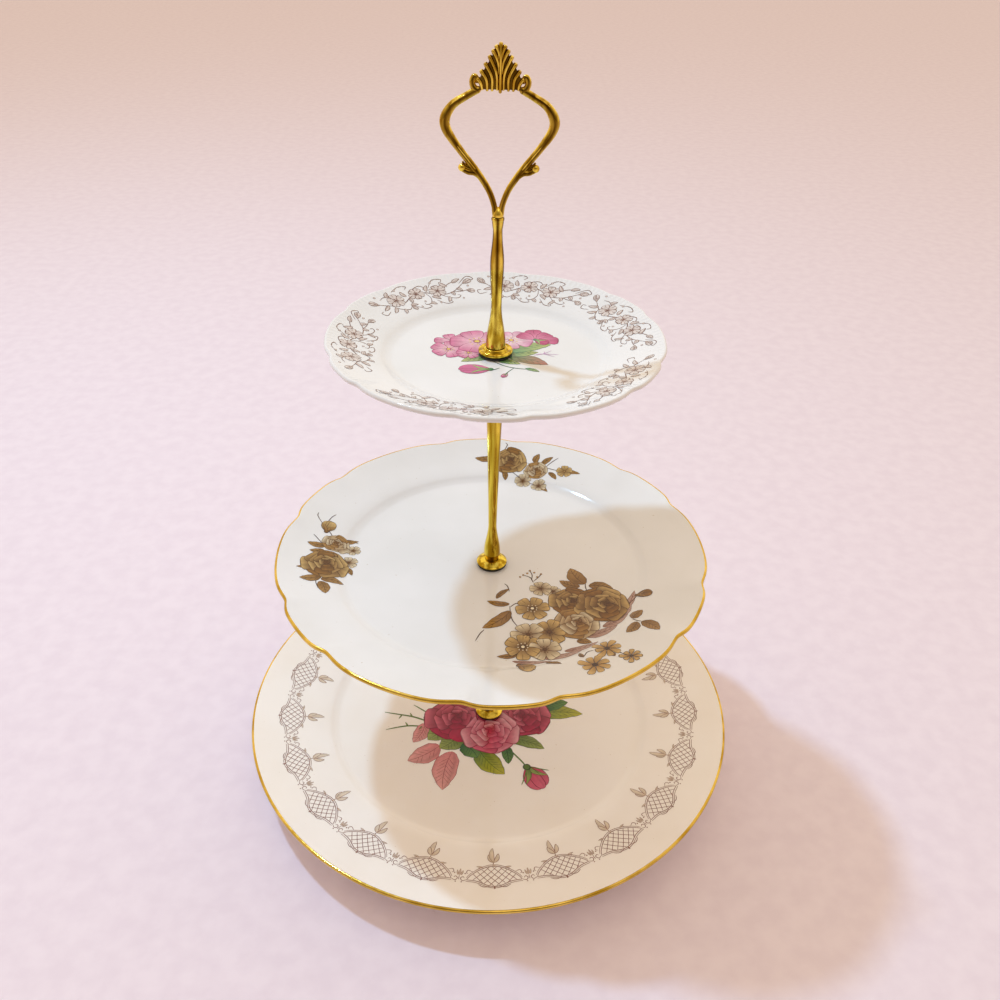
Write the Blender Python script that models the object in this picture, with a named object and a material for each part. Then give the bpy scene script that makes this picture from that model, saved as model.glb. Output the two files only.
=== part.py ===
"""Three-tier china cake stand: three plates threaded on a gold-coloured rod set with a loop handle.

Every rod carries a fixed stud in its top.  The stud passes up through a washer stack and a plate,
and the foot of the next rod screws down on it.  The lowest plate is held by a screw from below.
Metres, +Z up, origin on the table under the middle of the stand.
"""

import bpy
import bmesh
from math import cos, pi, radians, sin
from mathutils import Matrix, Vector

# ---- fits ----
GAP = 0.0003
THREAD_RADIUS = 0.0025
THREAD_GRIP = 0.0064
BORE_RADIUS = THREAD_RADIUS + GAP
BORE_SPARE = 0.0014
HOLE_PLAY = 0.0008
PLATE_HOLE_RADIUS = THREAD_RADIUS + HOLE_PLAY

# ---- plates: edge radius, flat well radius, rise from well to edge, foot ring depth, notch depth ----
TOP_PLATE_RADIUS = 0.0743
TOP_WELL_RADIUS = TOP_PLATE_RADIUS * 0.635
TOP_PLATE_RISE = 0.0100
TOP_FOOT_DEPTH = 0.0040
TOP_NOTCH = 0.0012
TOP_LOBE_TURN = radians(30)

MIDDLE_PLATE_RADIUS = 0.1082
MIDDLE_WELL_RADIUS = MIDDLE_PLATE_RADIUS * 0.70
MIDDLE_PLATE_RISE = 0.0102
MIDDLE_FOOT_DEPTH = 0.0050
MIDDLE_NOTCH = 0.0021
MIDDLE_LOBE_TURN = radians(35)

BOTTOM_PLATE_RADIUS = 0.1325
BOTTOM_WELL_RADIUS = BOTTOM_PLATE_RADIUS * 0.655
BOTTOM_PLATE_RISE = 0.0110
BOTTOM_NOTCH = 0.0

PLATE_THICKNESS = 0.0046
LIP_THICKNESS = 0.0024
LOBE_PAIRS = 6
NARROW_LOBE = radians(23)
NARROW_STEPS = 4
WIDE_STEPS = 8

# ---- washers ----
FLANGE_RADIUS = 0.0077
FLANGE_HEIGHT = 0.0025
PAD_RADIUS = 0.0074
PAD_HEIGHT = 0.0010
DISC_RADIUS = 0.0080
DISC_HEIGHT = 0.0012
SCREW_HEAD_RADIUS = 0.0048
SCREW_HEAD_HEIGHT = 0.0033
TABLE_CLEARANCE = 0.0030

# ---- rods ----
LOWER_ROD_LENGTH = 0.0967
UPPER_ROD_LENGTH = 0.1056
ROD_FOOT_RADIUS = BORE_RADIUS + 0.0007
ROD_BULB_RADIUS = BORE_RADIUS + 0.0013
ROD_BULB_HEIGHT = 0.0036
ROD_WAIST_RADIUS = 0.00206
ROD_WAIST_HEIGHT = 0.0205
ROD_TOP_RADIUS = BORE_RADIUS + 0.0016
STUD_SEAT = 0.0080

# ---- handle ----
STEM_LENGTH = 0.0570
STEM_FOOT_RADIUS = BORE_RADIUS + 0.00155
STEM_WAIST_RADIUS = 0.00228
STEM_WAIST_HEIGHT = 0.0192
STEM_SWELL_RADIUS = 0.00295
STEM_SWELL_HEIGHT = 0.0372
STEM_NECK_RADIUS = 0.00198
STEM_NECK_HEIGHT = 0.0512
STEM_COLLAR_RADIUS = 0.00265
PEG_RADIUS = 0.0011
PEG_LENGTH = 0.0030
LOOP_WIDTH = 0.0420
LOOP_HEIGHT = 0.0645
ARM_RADIUS = 0.00150
CROWN_WIDTH = 0.0170
CROWN_HEIGHT = 0.0167
CROWN_THICKNESS = 0.0034

ROUND_STEPS = 24
ROD_STEPS = 20

# ---- levels, worked up from the table ----
SCREW_HEAD_TOP = TABLE_CLEARANCE + SCREW_HEAD_HEIGHT
UNDER_STACK = 3 * GAP + DISC_HEIGHT + PAD_HEIGHT
OVER_STACK = 3 * GAP + PAD_HEIGHT + FLANGE_HEIGHT
BOTTOM_UNDERSIDE = SCREW_HEAD_TOP + UNDER_STACK
BOTTOM_FOOT_DEPTH = BOTTOM_UNDERSIDE
BOTTOM_WELL = BOTTOM_UNDERSIDE + PLATE_THICKNESS
LOWER_ROD_FOOT = BOTTOM_WELL + OVER_STACK
LOWER_ROD_TOP = LOWER_ROD_FOOT + LOWER_ROD_LENGTH
MIDDLE_UNDERSIDE = LOWER_ROD_TOP + UNDER_STACK
MIDDLE_WELL = MIDDLE_UNDERSIDE + PLATE_THICKNESS
UPPER_ROD_FOOT = MIDDLE_WELL + OVER_STACK
UPPER_ROD_TOP = UPPER_ROD_FOOT + UPPER_ROD_LENGTH
TOP_UNDERSIDE = UPPER_ROD_TOP + UNDER_STACK
TOP_WELL = TOP_UNDERSIDE + PLATE_THICKNESS
STEM_FOOT = TOP_WELL + OVER_STACK
STEM_TOP = STEM_FOOT + STEM_LENGTH
LOOP_FOOT = STEM_TOP + GAP

STUD_REACH = UNDER_STACK + PLATE_THICKNESS + OVER_STACK + THREAD_GRIP
BORE_DEPTH = THREAD_GRIP + BORE_SPARE


def clear_scene():
    """Remove whatever the scene starts with."""
    for item in list(bpy.data.objects):
        bpy.data.objects.remove(item, do_unlink=True)


def material(name, colour, roughness, metallic):
    """Return the named Principled material, made on first use."""
    found = bpy.data.materials.get(name)
    if found:
        return found
    made = bpy.data.materials.new(name)
    made.use_nodes = True
    shader = made.node_tree.nodes["Principled BSDF"]
    shader.inputs["Base Color"].default_value = (*colour, 1.0)
    shader.inputs["Roughness"].default_value = roughness
    shader.inputs["Metallic"].default_value = metallic
    return made


def china():
    """Glazed white porcelain."""
    return material("china", (0.88, 0.86, 0.83), 0.12, 0.0)


def gold():
    """Polished gold-coloured plating."""
    return material("gold", (0.86, 0.62, 0.18), 0.16, 1.0)


def rubber():
    """Dark washer rubber."""
    return material("rubber", (0.03, 0.03, 0.03), 0.70, 0.0)


def steel():
    """Plain zinc-plated steel."""
    return material("steel", (0.62, 0.62, 0.60), 0.32, 1.0)


def place(name, shape, surface, height=0.0):
    """Turn a bmesh into a shaded object standing on the stand's axis."""
    bmesh.ops.recalc_face_normals(shape, faces=shape.faces)
    mesh = bpy.data.meshes.new(name)
    shape.to_mesh(mesh)
    shape.free()
    mesh.materials.append(surface)
    mesh.shade_smooth()
    mesh.set_sharp_from_angle(angle=radians(35))
    thing = bpy.data.objects.new(name, mesh)
    thing.location = (0.0, 0.0, height)
    bpy.context.collection.objects.link(thing)
    return thing


def ring_shape(outline, turns, radius_shift=None):
    """Sweep a closed (radius, height) outline round Z; points on the axis become single poles."""
    shape = bmesh.new()
    columns = []
    poles = {}
    for turn in turns:
        column = []
        for spot, (radius, height) in enumerate(outline):
            if radius == 0.0:
                if spot not in poles:
                    poles[spot] = shape.verts.new((0.0, 0.0, height))
                column.append(poles[spot])
                continue
            reach = radius + (radius_shift(radius, turn) if radius_shift else 0.0)
            column.append(shape.verts.new((reach * cos(turn), reach * sin(turn), height)))
        columns.append(column)
    for here, there in zip(columns, columns[1:] + columns[:1]):
        for low, high in zip(range(len(outline)), [*range(1, len(outline)), 0]):
            corners = [here[low], there[low], there[high], here[high]]
            corners = list(dict.fromkeys(corners))
            if len(corners) > 2:
                shape.faces.new(corners)
    return shape


def even_turns(count=ROUND_STEPS):
    """Return evenly spaced angles for one full turn."""
    return [2 * pi * step / count for step in range(count)]


def eased(stations, steps):
    """Join (radius, height) stations with smooth S-shaped sweeps."""
    curve = [stations[0]]
    for (near, low), (far, high) in zip(stations, stations[1:]):
        for step in range(1, steps + 1):
            share = step / steps
            blend = (1 - cos(pi * share)) / 2
            curve.append((near + (far - near) * blend, low + (high - low) * share))
    return curve


# ---- plates ----
def lobe_turns(first_lobe):
    """Return angles that land on every notch between the wide and the narrow lobes."""
    pitch = 2 * pi / LOBE_PAIRS
    wide = pitch - NARROW_LOBE
    turns = []
    for pair in range(LOBE_PAIRS):
        start = first_lobe + pair * pitch - NARROW_LOBE / 2
        turns += [start + NARROW_LOBE * step / NARROW_STEPS for step in range(NARROW_STEPS)]
        turns += [start + NARROW_LOBE + wide * step / WIDE_STEPS for step in range(WIDE_STEPS)]
    return turns


def lobe_inset(turn, first_lobe):
    """Return how far into a notch an angle lies: 0 mid-lobe, 1 at the notch."""
    pitch = 2 * pi / LOBE_PAIRS
    wide = pitch - NARROW_LOBE
    along = (turn - first_lobe + NARROW_LOBE / 2) % pitch
    if along < NARROW_LOBE:
        share = abs(along / (NARROW_LOBE / 2) - 1)
    else:
        share = abs((along - NARROW_LOBE) / (wide / 2) - 1)
    return (1 - cos(pi * share**3)) / 2


def plate_outline(edge, well, rise, foot_depth):
    """Return a plate's section, counted from the flat well; starts at the hole's upper edge."""
    shoulder = well + 0.0045
    mid_flange = (shoulder + edge) / 2
    foot_ring = well - 0.0030
    under = -PLATE_THICKNESS
    return [
        (PLATE_HOLE_RADIUS, 0.0),
        (well - 0.0030, 0.0),
        (well + 0.0008, rise * 0.10),
        (shoulder, rise * 0.32),
        (mid_flange, rise * 0.60),
        (edge - 0.0011, rise),
        (edge, rise - LIP_THICKNESS * 0.40),
        (edge - 0.0008, rise - LIP_THICKNESS),
        (mid_flange, rise * 0.60 - 0.0034),
        (foot_ring + 0.0042, under + 0.0010),
        (foot_ring + 0.0016, under - foot_depth),
        (foot_ring - 0.0012, under - foot_depth),
        (foot_ring - 0.0030, under),
        (PLATE_HOLE_RADIUS, under),
    ]


def plate(name, edge, well, rise, foot_depth, notch, first_lobe, level):
    """Model one scalloped plate with a foot ring and a centre hole."""

    def scallop(radius, turn):
        share = max(0.0, (radius - well - 0.0045) / (edge - well - 0.0045))
        return -notch * share * lobe_inset(turn, first_lobe)

    outline = plate_outline(edge, well, rise, foot_depth)
    shape = ring_shape(outline, lobe_turns(first_lobe), scallop)
    return place(name, shape, china(), level)


# ---- washers and fixings ----
def flat_washer(name, radius, height, surface, level):
    """Model a flat ring with its bore clear of the stud."""
    outline = [(BORE_RADIUS, 0.0), (radius, 0.0), (radius, height), (BORE_RADIUS, height)]
    return place(name, ring_shape(outline, even_turns()), surface, level)


def domed_washer(name, level):
    """Model the convex gold flange under a rod."""
    crest = (ROD_FOOT_RADIUS + FLANGE_RADIUS) / 2
    outline = [
        (BORE_RADIUS, 0.0),
        (FLANGE_RADIUS - 0.0003, 0.0),
        (FLANGE_RADIUS, FLANGE_HEIGHT * 0.25),
        (crest, FLANGE_HEIGHT * 0.78),
        (ROD_FOOT_RADIUS + 0.0004, FLANGE_HEIGHT),
        (BORE_RADIUS, FLANGE_HEIGHT),
    ]
    return place(name, ring_shape(outline, even_turns()), gold(), level)


def stepped_washer(name, level):
    """Model the gold flange under the handle, with a raised rim and a step round the stem."""
    outline = [
        (BORE_RADIUS, 0.0),
        (FLANGE_RADIUS - 0.0003, 0.0),
        (FLANGE_RADIUS, FLANGE_HEIGHT * 0.35),
        (FLANGE_RADIUS - 0.0008, FLANGE_HEIGHT * 0.62),
        (FLANGE_RADIUS - 0.0018, FLANGE_HEIGHT * 0.50),
        (STEM_FOOT_RADIUS + 0.0009, FLANGE_HEIGHT * 0.60),
        (STEM_FOOT_RADIUS + 0.0006, FLANGE_HEIGHT),
        (BORE_RADIUS, FLANGE_HEIGHT),
    ]
    return place(name, ring_shape(outline, even_turns()), gold(), level)


def stud(name, seat_level, top_level):
    """Model a threaded stud at its full thread radius, with chamfered ends."""
    chamfer = 0.0006
    length = top_level - seat_level
    outline = [
        (0.0, 0.0),
        (THREAD_RADIUS - chamfer, 0.0),
        (THREAD_RADIUS, chamfer),
        (THREAD_RADIUS, length - chamfer),
        (THREAD_RADIUS - chamfer, length),
        (0.0, length),
    ]
    return place(name, ring_shape(outline, even_turns()), steel(), seat_level)


def base_screw():
    """Model the pan-headed screw that holds the lowest plate from below."""
    top = STUD_REACH + SCREW_HEAD_HEIGHT
    chamfer = 0.0006
    outline = [
        (0.0, 0.0),
        (SCREW_HEAD_RADIUS * 0.72, 0.0),
        (SCREW_HEAD_RADIUS, SCREW_HEAD_HEIGHT * 0.45),
        (SCREW_HEAD_RADIUS, SCREW_HEAD_HEIGHT),
        (THREAD_RADIUS, SCREW_HEAD_HEIGHT),
        (THREAD_RADIUS, top - chamfer),
        (THREAD_RADIUS - chamfer, top),
        (0.0, top),
    ]
    return place("base_screw", ring_shape(outline, even_turns()), steel(), TABLE_CLEARANCE)


# ---- rods ----
def rod(name, length, level):
    """Model a tapering rod with a bulb at its foot and a blind bore in each end."""
    side = eased(
        [
            (ROD_FOOT_RADIUS, 0.0),
            (ROD_BULB_RADIUS, ROD_BULB_HEIGHT),
            (ROD_WAIST_RADIUS, ROD_WAIST_HEIGHT),
        ],
        5,
    )
    for step in range(1, 6):
        share = step / 5
        radius = ROD_WAIST_RADIUS + (ROD_TOP_RADIUS - ROD_WAIST_RADIUS) * share**1.25
        side.append((radius, ROD_WAIST_HEIGHT + (length - ROD_WAIST_HEIGHT) * share))
    outline = [
        (0.0, BORE_DEPTH),
        (BORE_RADIUS, BORE_DEPTH - GAP),
        (BORE_RADIUS, 0.0),
        *side,
        (BORE_RADIUS, length),
        (BORE_RADIUS, length - STUD_SEAT - GAP),
        (0.0, length - STUD_SEAT - 2 * GAP),
    ]
    return place(name, ring_shape(outline, even_turns(ROD_STEPS)), gold(), level)


def handle_stem():
    """Model the waisted stem between the handle's foot and its collar."""
    side = eased(
        [
            (STEM_FOOT_RADIUS, 0.0),
            (STEM_WAIST_RADIUS, STEM_WAIST_HEIGHT),
            (STEM_SWELL_RADIUS, STEM_SWELL_HEIGHT),
            (STEM_NECK_RADIUS, STEM_NECK_HEIGHT),
            (STEM_COLLAR_RADIUS, STEM_LENGTH - 0.0006),
        ],
        5,
    )
    outline = [
        (0.0, BORE_DEPTH),
        (BORE_RADIUS, BORE_DEPTH - GAP),
        (BORE_RADIUS, 0.0),
        *side,
        (STEM_COLLAR_RADIUS - GAP, STEM_LENGTH),
        (PEG_RADIUS + GAP, STEM_LENGTH),
        (PEG_RADIUS + GAP, STEM_LENGTH - PEG_LENGTH - GAP),
        (0.0, STEM_LENGTH - PEG_LENGTH - GAP),
    ]
    return place("handle_stem", ring_shape(outline, even_turns(ROD_STEPS)), gold(), STEM_FOOT)


# ---- handle loop ----
def tube(points, radii):
    """Return a mesh object for a round arm along points, with its own radius at each."""
    path = bpy.data.curves.new("arm", "CURVE")
    path.dimensions = "3D"
    path.bevel_depth = 1.0
    path.bevel_resolution = 2
    path.resolution_u = 3
    path.use_fill_caps = True
    line = path.splines.new("BEZIER")
    line.bezier_points.add(len(points) - 1)
    for knot, point, radius in zip(line.bezier_points, points, radii):
        knot.co = (point[0], 0.0, point[1])
        knot.radius = radius
        knot.handle_left_type = "AUTO"
        knot.handle_right_type = "AUTO"
    return curve_to_mesh(path)


def curve_to_mesh(path):
    """Bake a curve to a mesh object and remove the curve."""
    holder = bpy.data.objects.new("arm", path)
    bpy.context.collection.objects.link(holder)
    baked = bpy.data.meshes.new_from_object(holder.evaluated_get(bpy.context.evaluated_depsgraph_get()))
    bpy.data.objects.remove(holder, do_unlink=True)
    body = bpy.data.objects.new("arm", baked)
    bpy.context.collection.objects.link(body)
    clean = bmesh.new()
    clean.from_mesh(baked)
    bmesh.ops.remove_doubles(clean, verts=clean.verts, dist=1e-6)
    bmesh.ops.recalc_face_normals(clean, faces=clean.faces)
    clean.to_mesh(baked)
    clean.free()
    return body


def bead(centre, radius):
    """Return a small ball at the end of a scroll."""
    shape = bmesh.new()
    spot = Matrix.Translation((centre[0], 0.0, centre[1]))
    bmesh.ops.create_uvsphere(shape, u_segments=12, v_segments=8, radius=radius, matrix=spot)
    return place("bead", shape, gold())


def loop_arm(side):
    """Return the pieces of one side of the loop: the arm, its lower scroll and its upper curl."""
    wide = LOOP_WIDTH / 2
    tall = LOOP_HEIGHT
    path = [
        (0.050, 0.000),
        (0.090, 0.070),
        (0.205, 0.170),
        (0.430, 0.280),
        (0.740, 0.405),
        (0.965, 0.510),
        (1.000, 0.580),
        (0.860, 0.655),
        (0.620, 0.705),
        (0.395, 0.745),
    ]
    fat = [0.84, 0.80, 0.84, 0.95, 0.95, 1.12, 1.15, 1.00, 1.00, 1.00]
    arm = tube(
        [(side * x * wide, LOOP_FOOT + z * tall) for x, z in path],
        [ARM_RADIUS * f for f in fat],
    )
    scroll_path = [(0.360, 0.262), (0.500, 0.290), (0.640, 0.290)]
    scroll = tube(
        [(side * x * wide, LOOP_FOOT + z * tall) for x, z in scroll_path],
        [ARM_RADIUS * 0.80, ARM_RADIUS * 0.72, ARM_RADIUS * 0.62],
    )
    knob = bead((side * 0.680 * wide, LOOP_FOOT + 0.296 * tall), ARM_RADIUS * 1.08)
    curl_path = [(0.395, 0.735), (0.470, 0.765), (0.475, 0.805), (0.420, 0.830)]
    curl = tube(
        [(side * x * wide, LOOP_FOOT + z * tall) for x, z in curl_path],
        [ARM_RADIUS * 0.90, ARM_RADIUS * 0.90, ARM_RADIUS * 0.95, ARM_RADIUS * 0.85],
    )
    return [arm, scroll, knob, curl]


def crown():
    """Return the stepped leaf at the top of the loop as a slab."""
    half = CROWN_WIDTH / 2
    base = LOOP_FOOT + LOOP_HEIGHT - CROWN_HEIGHT
    right = [
        (1.00, 0.00),
        (1.16, 0.20),
        (0.94, 0.36),
        (0.86, 0.56),
        (0.60, 0.62),
        (0.50, 0.80),
        (0.22, 0.88),
    ]
    left = [(-x, z) for x, z in reversed(right)]
    outline = [*right, (0.0, 1.0), *left]
    shape = bmesh.new()
    front = [shape.verts.new((x * half, -CROWN_THICKNESS / 2, base + z * CROWN_HEIGHT)) for x, z in outline]
    face = shape.faces.new(front)
    grown = bmesh.ops.extrude_face_region(shape, geom=[face])
    moved = [item for item in grown["geom"] if isinstance(item, bmesh.types.BMVert)]
    bmesh.ops.translate(shape, verts=moved, vec=Vector((0.0, CROWN_THICKNESS, 0.0)))
    return place("crown", shape, gold())


def foot_peg():
    """Return the loop's round foot with the peg that drops in the stem's collar."""
    outline = [
        (0.0, -PEG_LENGTH),
        (PEG_RADIUS, -PEG_LENGTH),
        (PEG_RADIUS, 0.0),
        (STEM_COLLAR_RADIUS - 0.0004, 0.0),
        (STEM_COLLAR_RADIUS - 0.0006, 0.0014),
        (0.0, 0.0020),
    ]
    return place("foot_peg", ring_shape(outline, even_turns(16)), gold(), LOOP_FOOT)


def drop_doubled_faces(shape):
    """Delete faces that lie back to back on the same corners."""
    groups = {}
    for face in shape.faces:
        groups.setdefault(frozenset(face.verts), []).append(face)
    doubled = [face for group in groups.values() if len(group) > 1 for face in group]
    bmesh.ops.delete(shape, geom=doubled, context="FACES")


def handle_loop():
    """Join the arms, scrolls, curls, crown and peg in one casting."""
    body = foot_peg()
    pieces = [*loop_arm(1), *loop_arm(-1), crown()]
    for piece in pieces:
        union = body.modifiers.new("join", "BOOLEAN")
        union.operation = "UNION"
        union.solver = "EXACT"
        union.object = piece
    bpy.context.view_layer.update()
    joined = bpy.data.meshes.new_from_object(body.evaluated_get(bpy.context.evaluated_depsgraph_get()))
    shape = bmesh.new()
    shape.from_mesh(joined)
    bpy.data.meshes.remove(joined)
    bmesh.ops.translate(shape, verts=shape.verts, vec=body.location)
    for piece in [body, *pieces]:
        bpy.data.objects.remove(piece, do_unlink=True)
    bmesh.ops.remove_doubles(shape, verts=shape.verts, dist=1e-5)
    bmesh.ops.triangulate(shape, faces=shape.faces)
    drop_doubled_faces(shape)
    return place("handle_loop", shape, gold())


# ---- assembly ----
def bottom_tier():
    """Place the lowest plate, its washers and the screw through them."""
    plate(
        "bottom_plate",
        BOTTOM_PLATE_RADIUS,
        BOTTOM_WELL_RADIUS,
        BOTTOM_PLATE_RISE,
        BOTTOM_FOOT_DEPTH,
        BOTTOM_NOTCH,
        0.0,
        BOTTOM_WELL,
    )
    base_screw()
    washer_stack("bottom", SCREW_HEAD_TOP, BOTTOM_WELL)
    domed_washer("bottom_gold_washer", LOWER_ROD_FOOT - GAP - FLANGE_HEIGHT)


def washer_stack(tier, under_level, well_level):
    """Place the metal disc and pad below a plate and the pad above it."""
    disc_level = under_level + GAP
    pad_level = disc_level + DISC_HEIGHT + GAP
    flat_washer(tier + "_under_disc", DISC_RADIUS, DISC_HEIGHT, steel(), disc_level)
    flat_washer(tier + "_under_pad", PAD_RADIUS, PAD_HEIGHT, rubber(), pad_level)
    flat_washer(tier + "_upper_pad", PAD_RADIUS, PAD_HEIGHT, rubber(), well_level + GAP)


def middle_tier():
    """Place the lower rod, its stud, the middle plate and its washers."""
    rod("lower_rod", LOWER_ROD_LENGTH, LOWER_ROD_FOOT)
    stud("lower_stud", LOWER_ROD_TOP - STUD_SEAT, LOWER_ROD_TOP + STUD_REACH)
    plate(
        "middle_plate",
        MIDDLE_PLATE_RADIUS,
        MIDDLE_WELL_RADIUS,
        MIDDLE_PLATE_RISE,
        MIDDLE_FOOT_DEPTH,
        MIDDLE_NOTCH,
        MIDDLE_LOBE_TURN,
        MIDDLE_WELL,
    )
    washer_stack("middle", LOWER_ROD_TOP, MIDDLE_WELL)
    domed_washer("middle_gold_washer", UPPER_ROD_FOOT - GAP - FLANGE_HEIGHT)


def top_tier():
    """Place the upper rod, its stud, the top plate and its washers."""
    rod("upper_rod", UPPER_ROD_LENGTH, UPPER_ROD_FOOT)
    stud("upper_stud", UPPER_ROD_TOP - STUD_SEAT, UPPER_ROD_TOP + STUD_REACH)
    plate(
        "top_plate",
        TOP_PLATE_RADIUS,
        TOP_WELL_RADIUS,
        TOP_PLATE_RISE,
        TOP_FOOT_DEPTH,
        TOP_NOTCH,
        TOP_LOBE_TURN,
        TOP_WELL,
    )
    washer_stack("top", UPPER_ROD_TOP, TOP_WELL)
    stepped_washer("top_gold_washer", STEM_FOOT - GAP - FLANGE_HEIGHT)


def main():
    """Build the stand from the table up."""
    clear_scene()
    bottom_tier()
    middle_tier()
    top_tier()
    handle_stem()
    handle_loop()


main()
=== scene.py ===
"""Looks of a three-tier china cake stand.

Glazed plates with printed flowers, polished gold rods, a cast loop handle, washers and threads.
Lengths are metres in the frame of the CAD part, except that prints are drawn in millimetres.
"""

import bpy
import numpy as np
from math import cos, pi, radians, sin
from mathutils import Matrix, Vector


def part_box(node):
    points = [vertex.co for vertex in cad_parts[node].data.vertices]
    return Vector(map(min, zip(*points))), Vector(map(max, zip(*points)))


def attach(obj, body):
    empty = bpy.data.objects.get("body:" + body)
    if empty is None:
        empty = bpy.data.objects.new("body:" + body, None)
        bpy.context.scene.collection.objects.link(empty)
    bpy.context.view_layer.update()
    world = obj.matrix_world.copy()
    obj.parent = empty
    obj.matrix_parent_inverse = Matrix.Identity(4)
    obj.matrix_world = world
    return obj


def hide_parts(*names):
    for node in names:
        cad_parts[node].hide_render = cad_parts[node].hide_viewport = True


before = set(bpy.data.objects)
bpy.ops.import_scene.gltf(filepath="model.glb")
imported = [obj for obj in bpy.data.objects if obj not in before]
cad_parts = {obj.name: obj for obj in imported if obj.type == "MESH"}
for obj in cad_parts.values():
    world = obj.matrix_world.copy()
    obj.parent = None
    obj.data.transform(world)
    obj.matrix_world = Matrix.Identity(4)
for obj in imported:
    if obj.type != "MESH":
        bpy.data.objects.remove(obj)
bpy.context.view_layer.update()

MM = 0.001
GAP = 0.3 * MM
PLATE_THICKNESS = 4.6 * MM
LIP_THICKNESS = 2.4 * MM
LOBE_PAIRS = 6
NARROW_LOBE = radians(23)
THREAD_RADIUS = 2.5 * MM
THREAD_PITCH = 0.8 * MM
THREAD_DEPTH = 0.45 * MM
BORE_RADIUS = THREAD_RADIUS + GAP
BORE_MOUTH = [(0.4 * MM, 7.8 * MM), (BORE_RADIUS, 7.5 * MM), (BORE_RADIUS, 0.0)]
HOLE_REACH = THREAD_RADIUS + 0.8 * MM
PRINT_LIFT = 0.05 * MM  # lowest printed sheet above the glaze
PRINT_STEP = 0.02 * MM  # one layer above the next
LAYER_SHARE = 0.618  # spreads neighbouring sheets over one layer
ROSE_RINGS = (  # petals, reach, root and width of each ring, as shares of the rose's radius
    (7, 1.0, 0.22, 0.98),
    (6, 0.76, 0.12, 0.80),
    (5, 0.54, 0.06, 0.62),
    (4, 0.34, 0.0, 0.42),
)
RIM_FLUTES = 168
FLUTE_DEPTH = 0.09 * MM
ROUND_STEPS = 96
CREASE_ANGLE = radians(50)
TOP_STEPS, LOWER_STEPS = 768, 480
VINE_RADIUS = 62  # millimetres, as for the lace
VINE_TURNS = (126, 74, 22, 324, 253, 184)  # degrees
LACE_RADIUS = 112
LACE_REPEATS = 21
LACE_START = radians(272)
CARTOUCHE_HALF = 13.0
LIMB_STEPS = 8
LOOP_HALF_WIDTH = 21.0 * MM
CROWN_HEIGHT = 16.7 * MM
CROWN_HALF_WIDTH = 8.5 * MM
FLOOR_DROP = 0.2 * MM
STAND_MIDDLE = np.array([0.0, 0.0, 0.17])
VIEW_FROM = (0.0, -0.3825, 0.4262)
VIEW_PITCH, VIEW_YAW, VIEW_ROLL = radians(34.59), radians(0.52), radians(1.32)
VIEW_LENS = 34.2  # millimetres on a 36 mm sensor
ROOM_LIGHT = 1.07


def srgb(red, green, blue):
    """Return a linear colour from screen values out of 255."""
    values = np.array([red, green, blue]) / 255.0
    return np.where(values <= 0.04045, values / 12.92, ((values + 0.055) / 1.055) ** 2.4)


def palette(*tones):
    """Return several linear colours from screen values."""
    return tuple(srgb(*tone) for tone in tones)


def heading(turn):
    """Return the flat direction at an angle from the x axis."""
    return np.array([cos(turn), sin(turn)])


def circle(steps):
    """Return evenly spaced angles for one full turn."""
    return np.arange(steps) * 2 * pi / steps


def directions(line):
    """Return the unit direction of a line at each of its points."""
    along = np.gradient(line, axis=0)
    return along / np.linalg.norm(along, axis=1, keepdims=True)


def browned(tone):
    """Return paint that darkens toward brown as tone falls from 1."""
    return np.stack([tone, tone**1.2, tone**1.6], -1)


def polar(radius, turn, *height):
    """Return points from radii and angles, with heights if they are given."""
    return np.stack([radius * np.cos(turn), radius * np.sin(turn), *height], -1)


def extent(node):
    """Return a node's largest radius about the rod, its lowest and its highest level."""
    low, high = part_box(node)
    return max(high[0], -low[0]), low[2], high[2]


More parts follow.
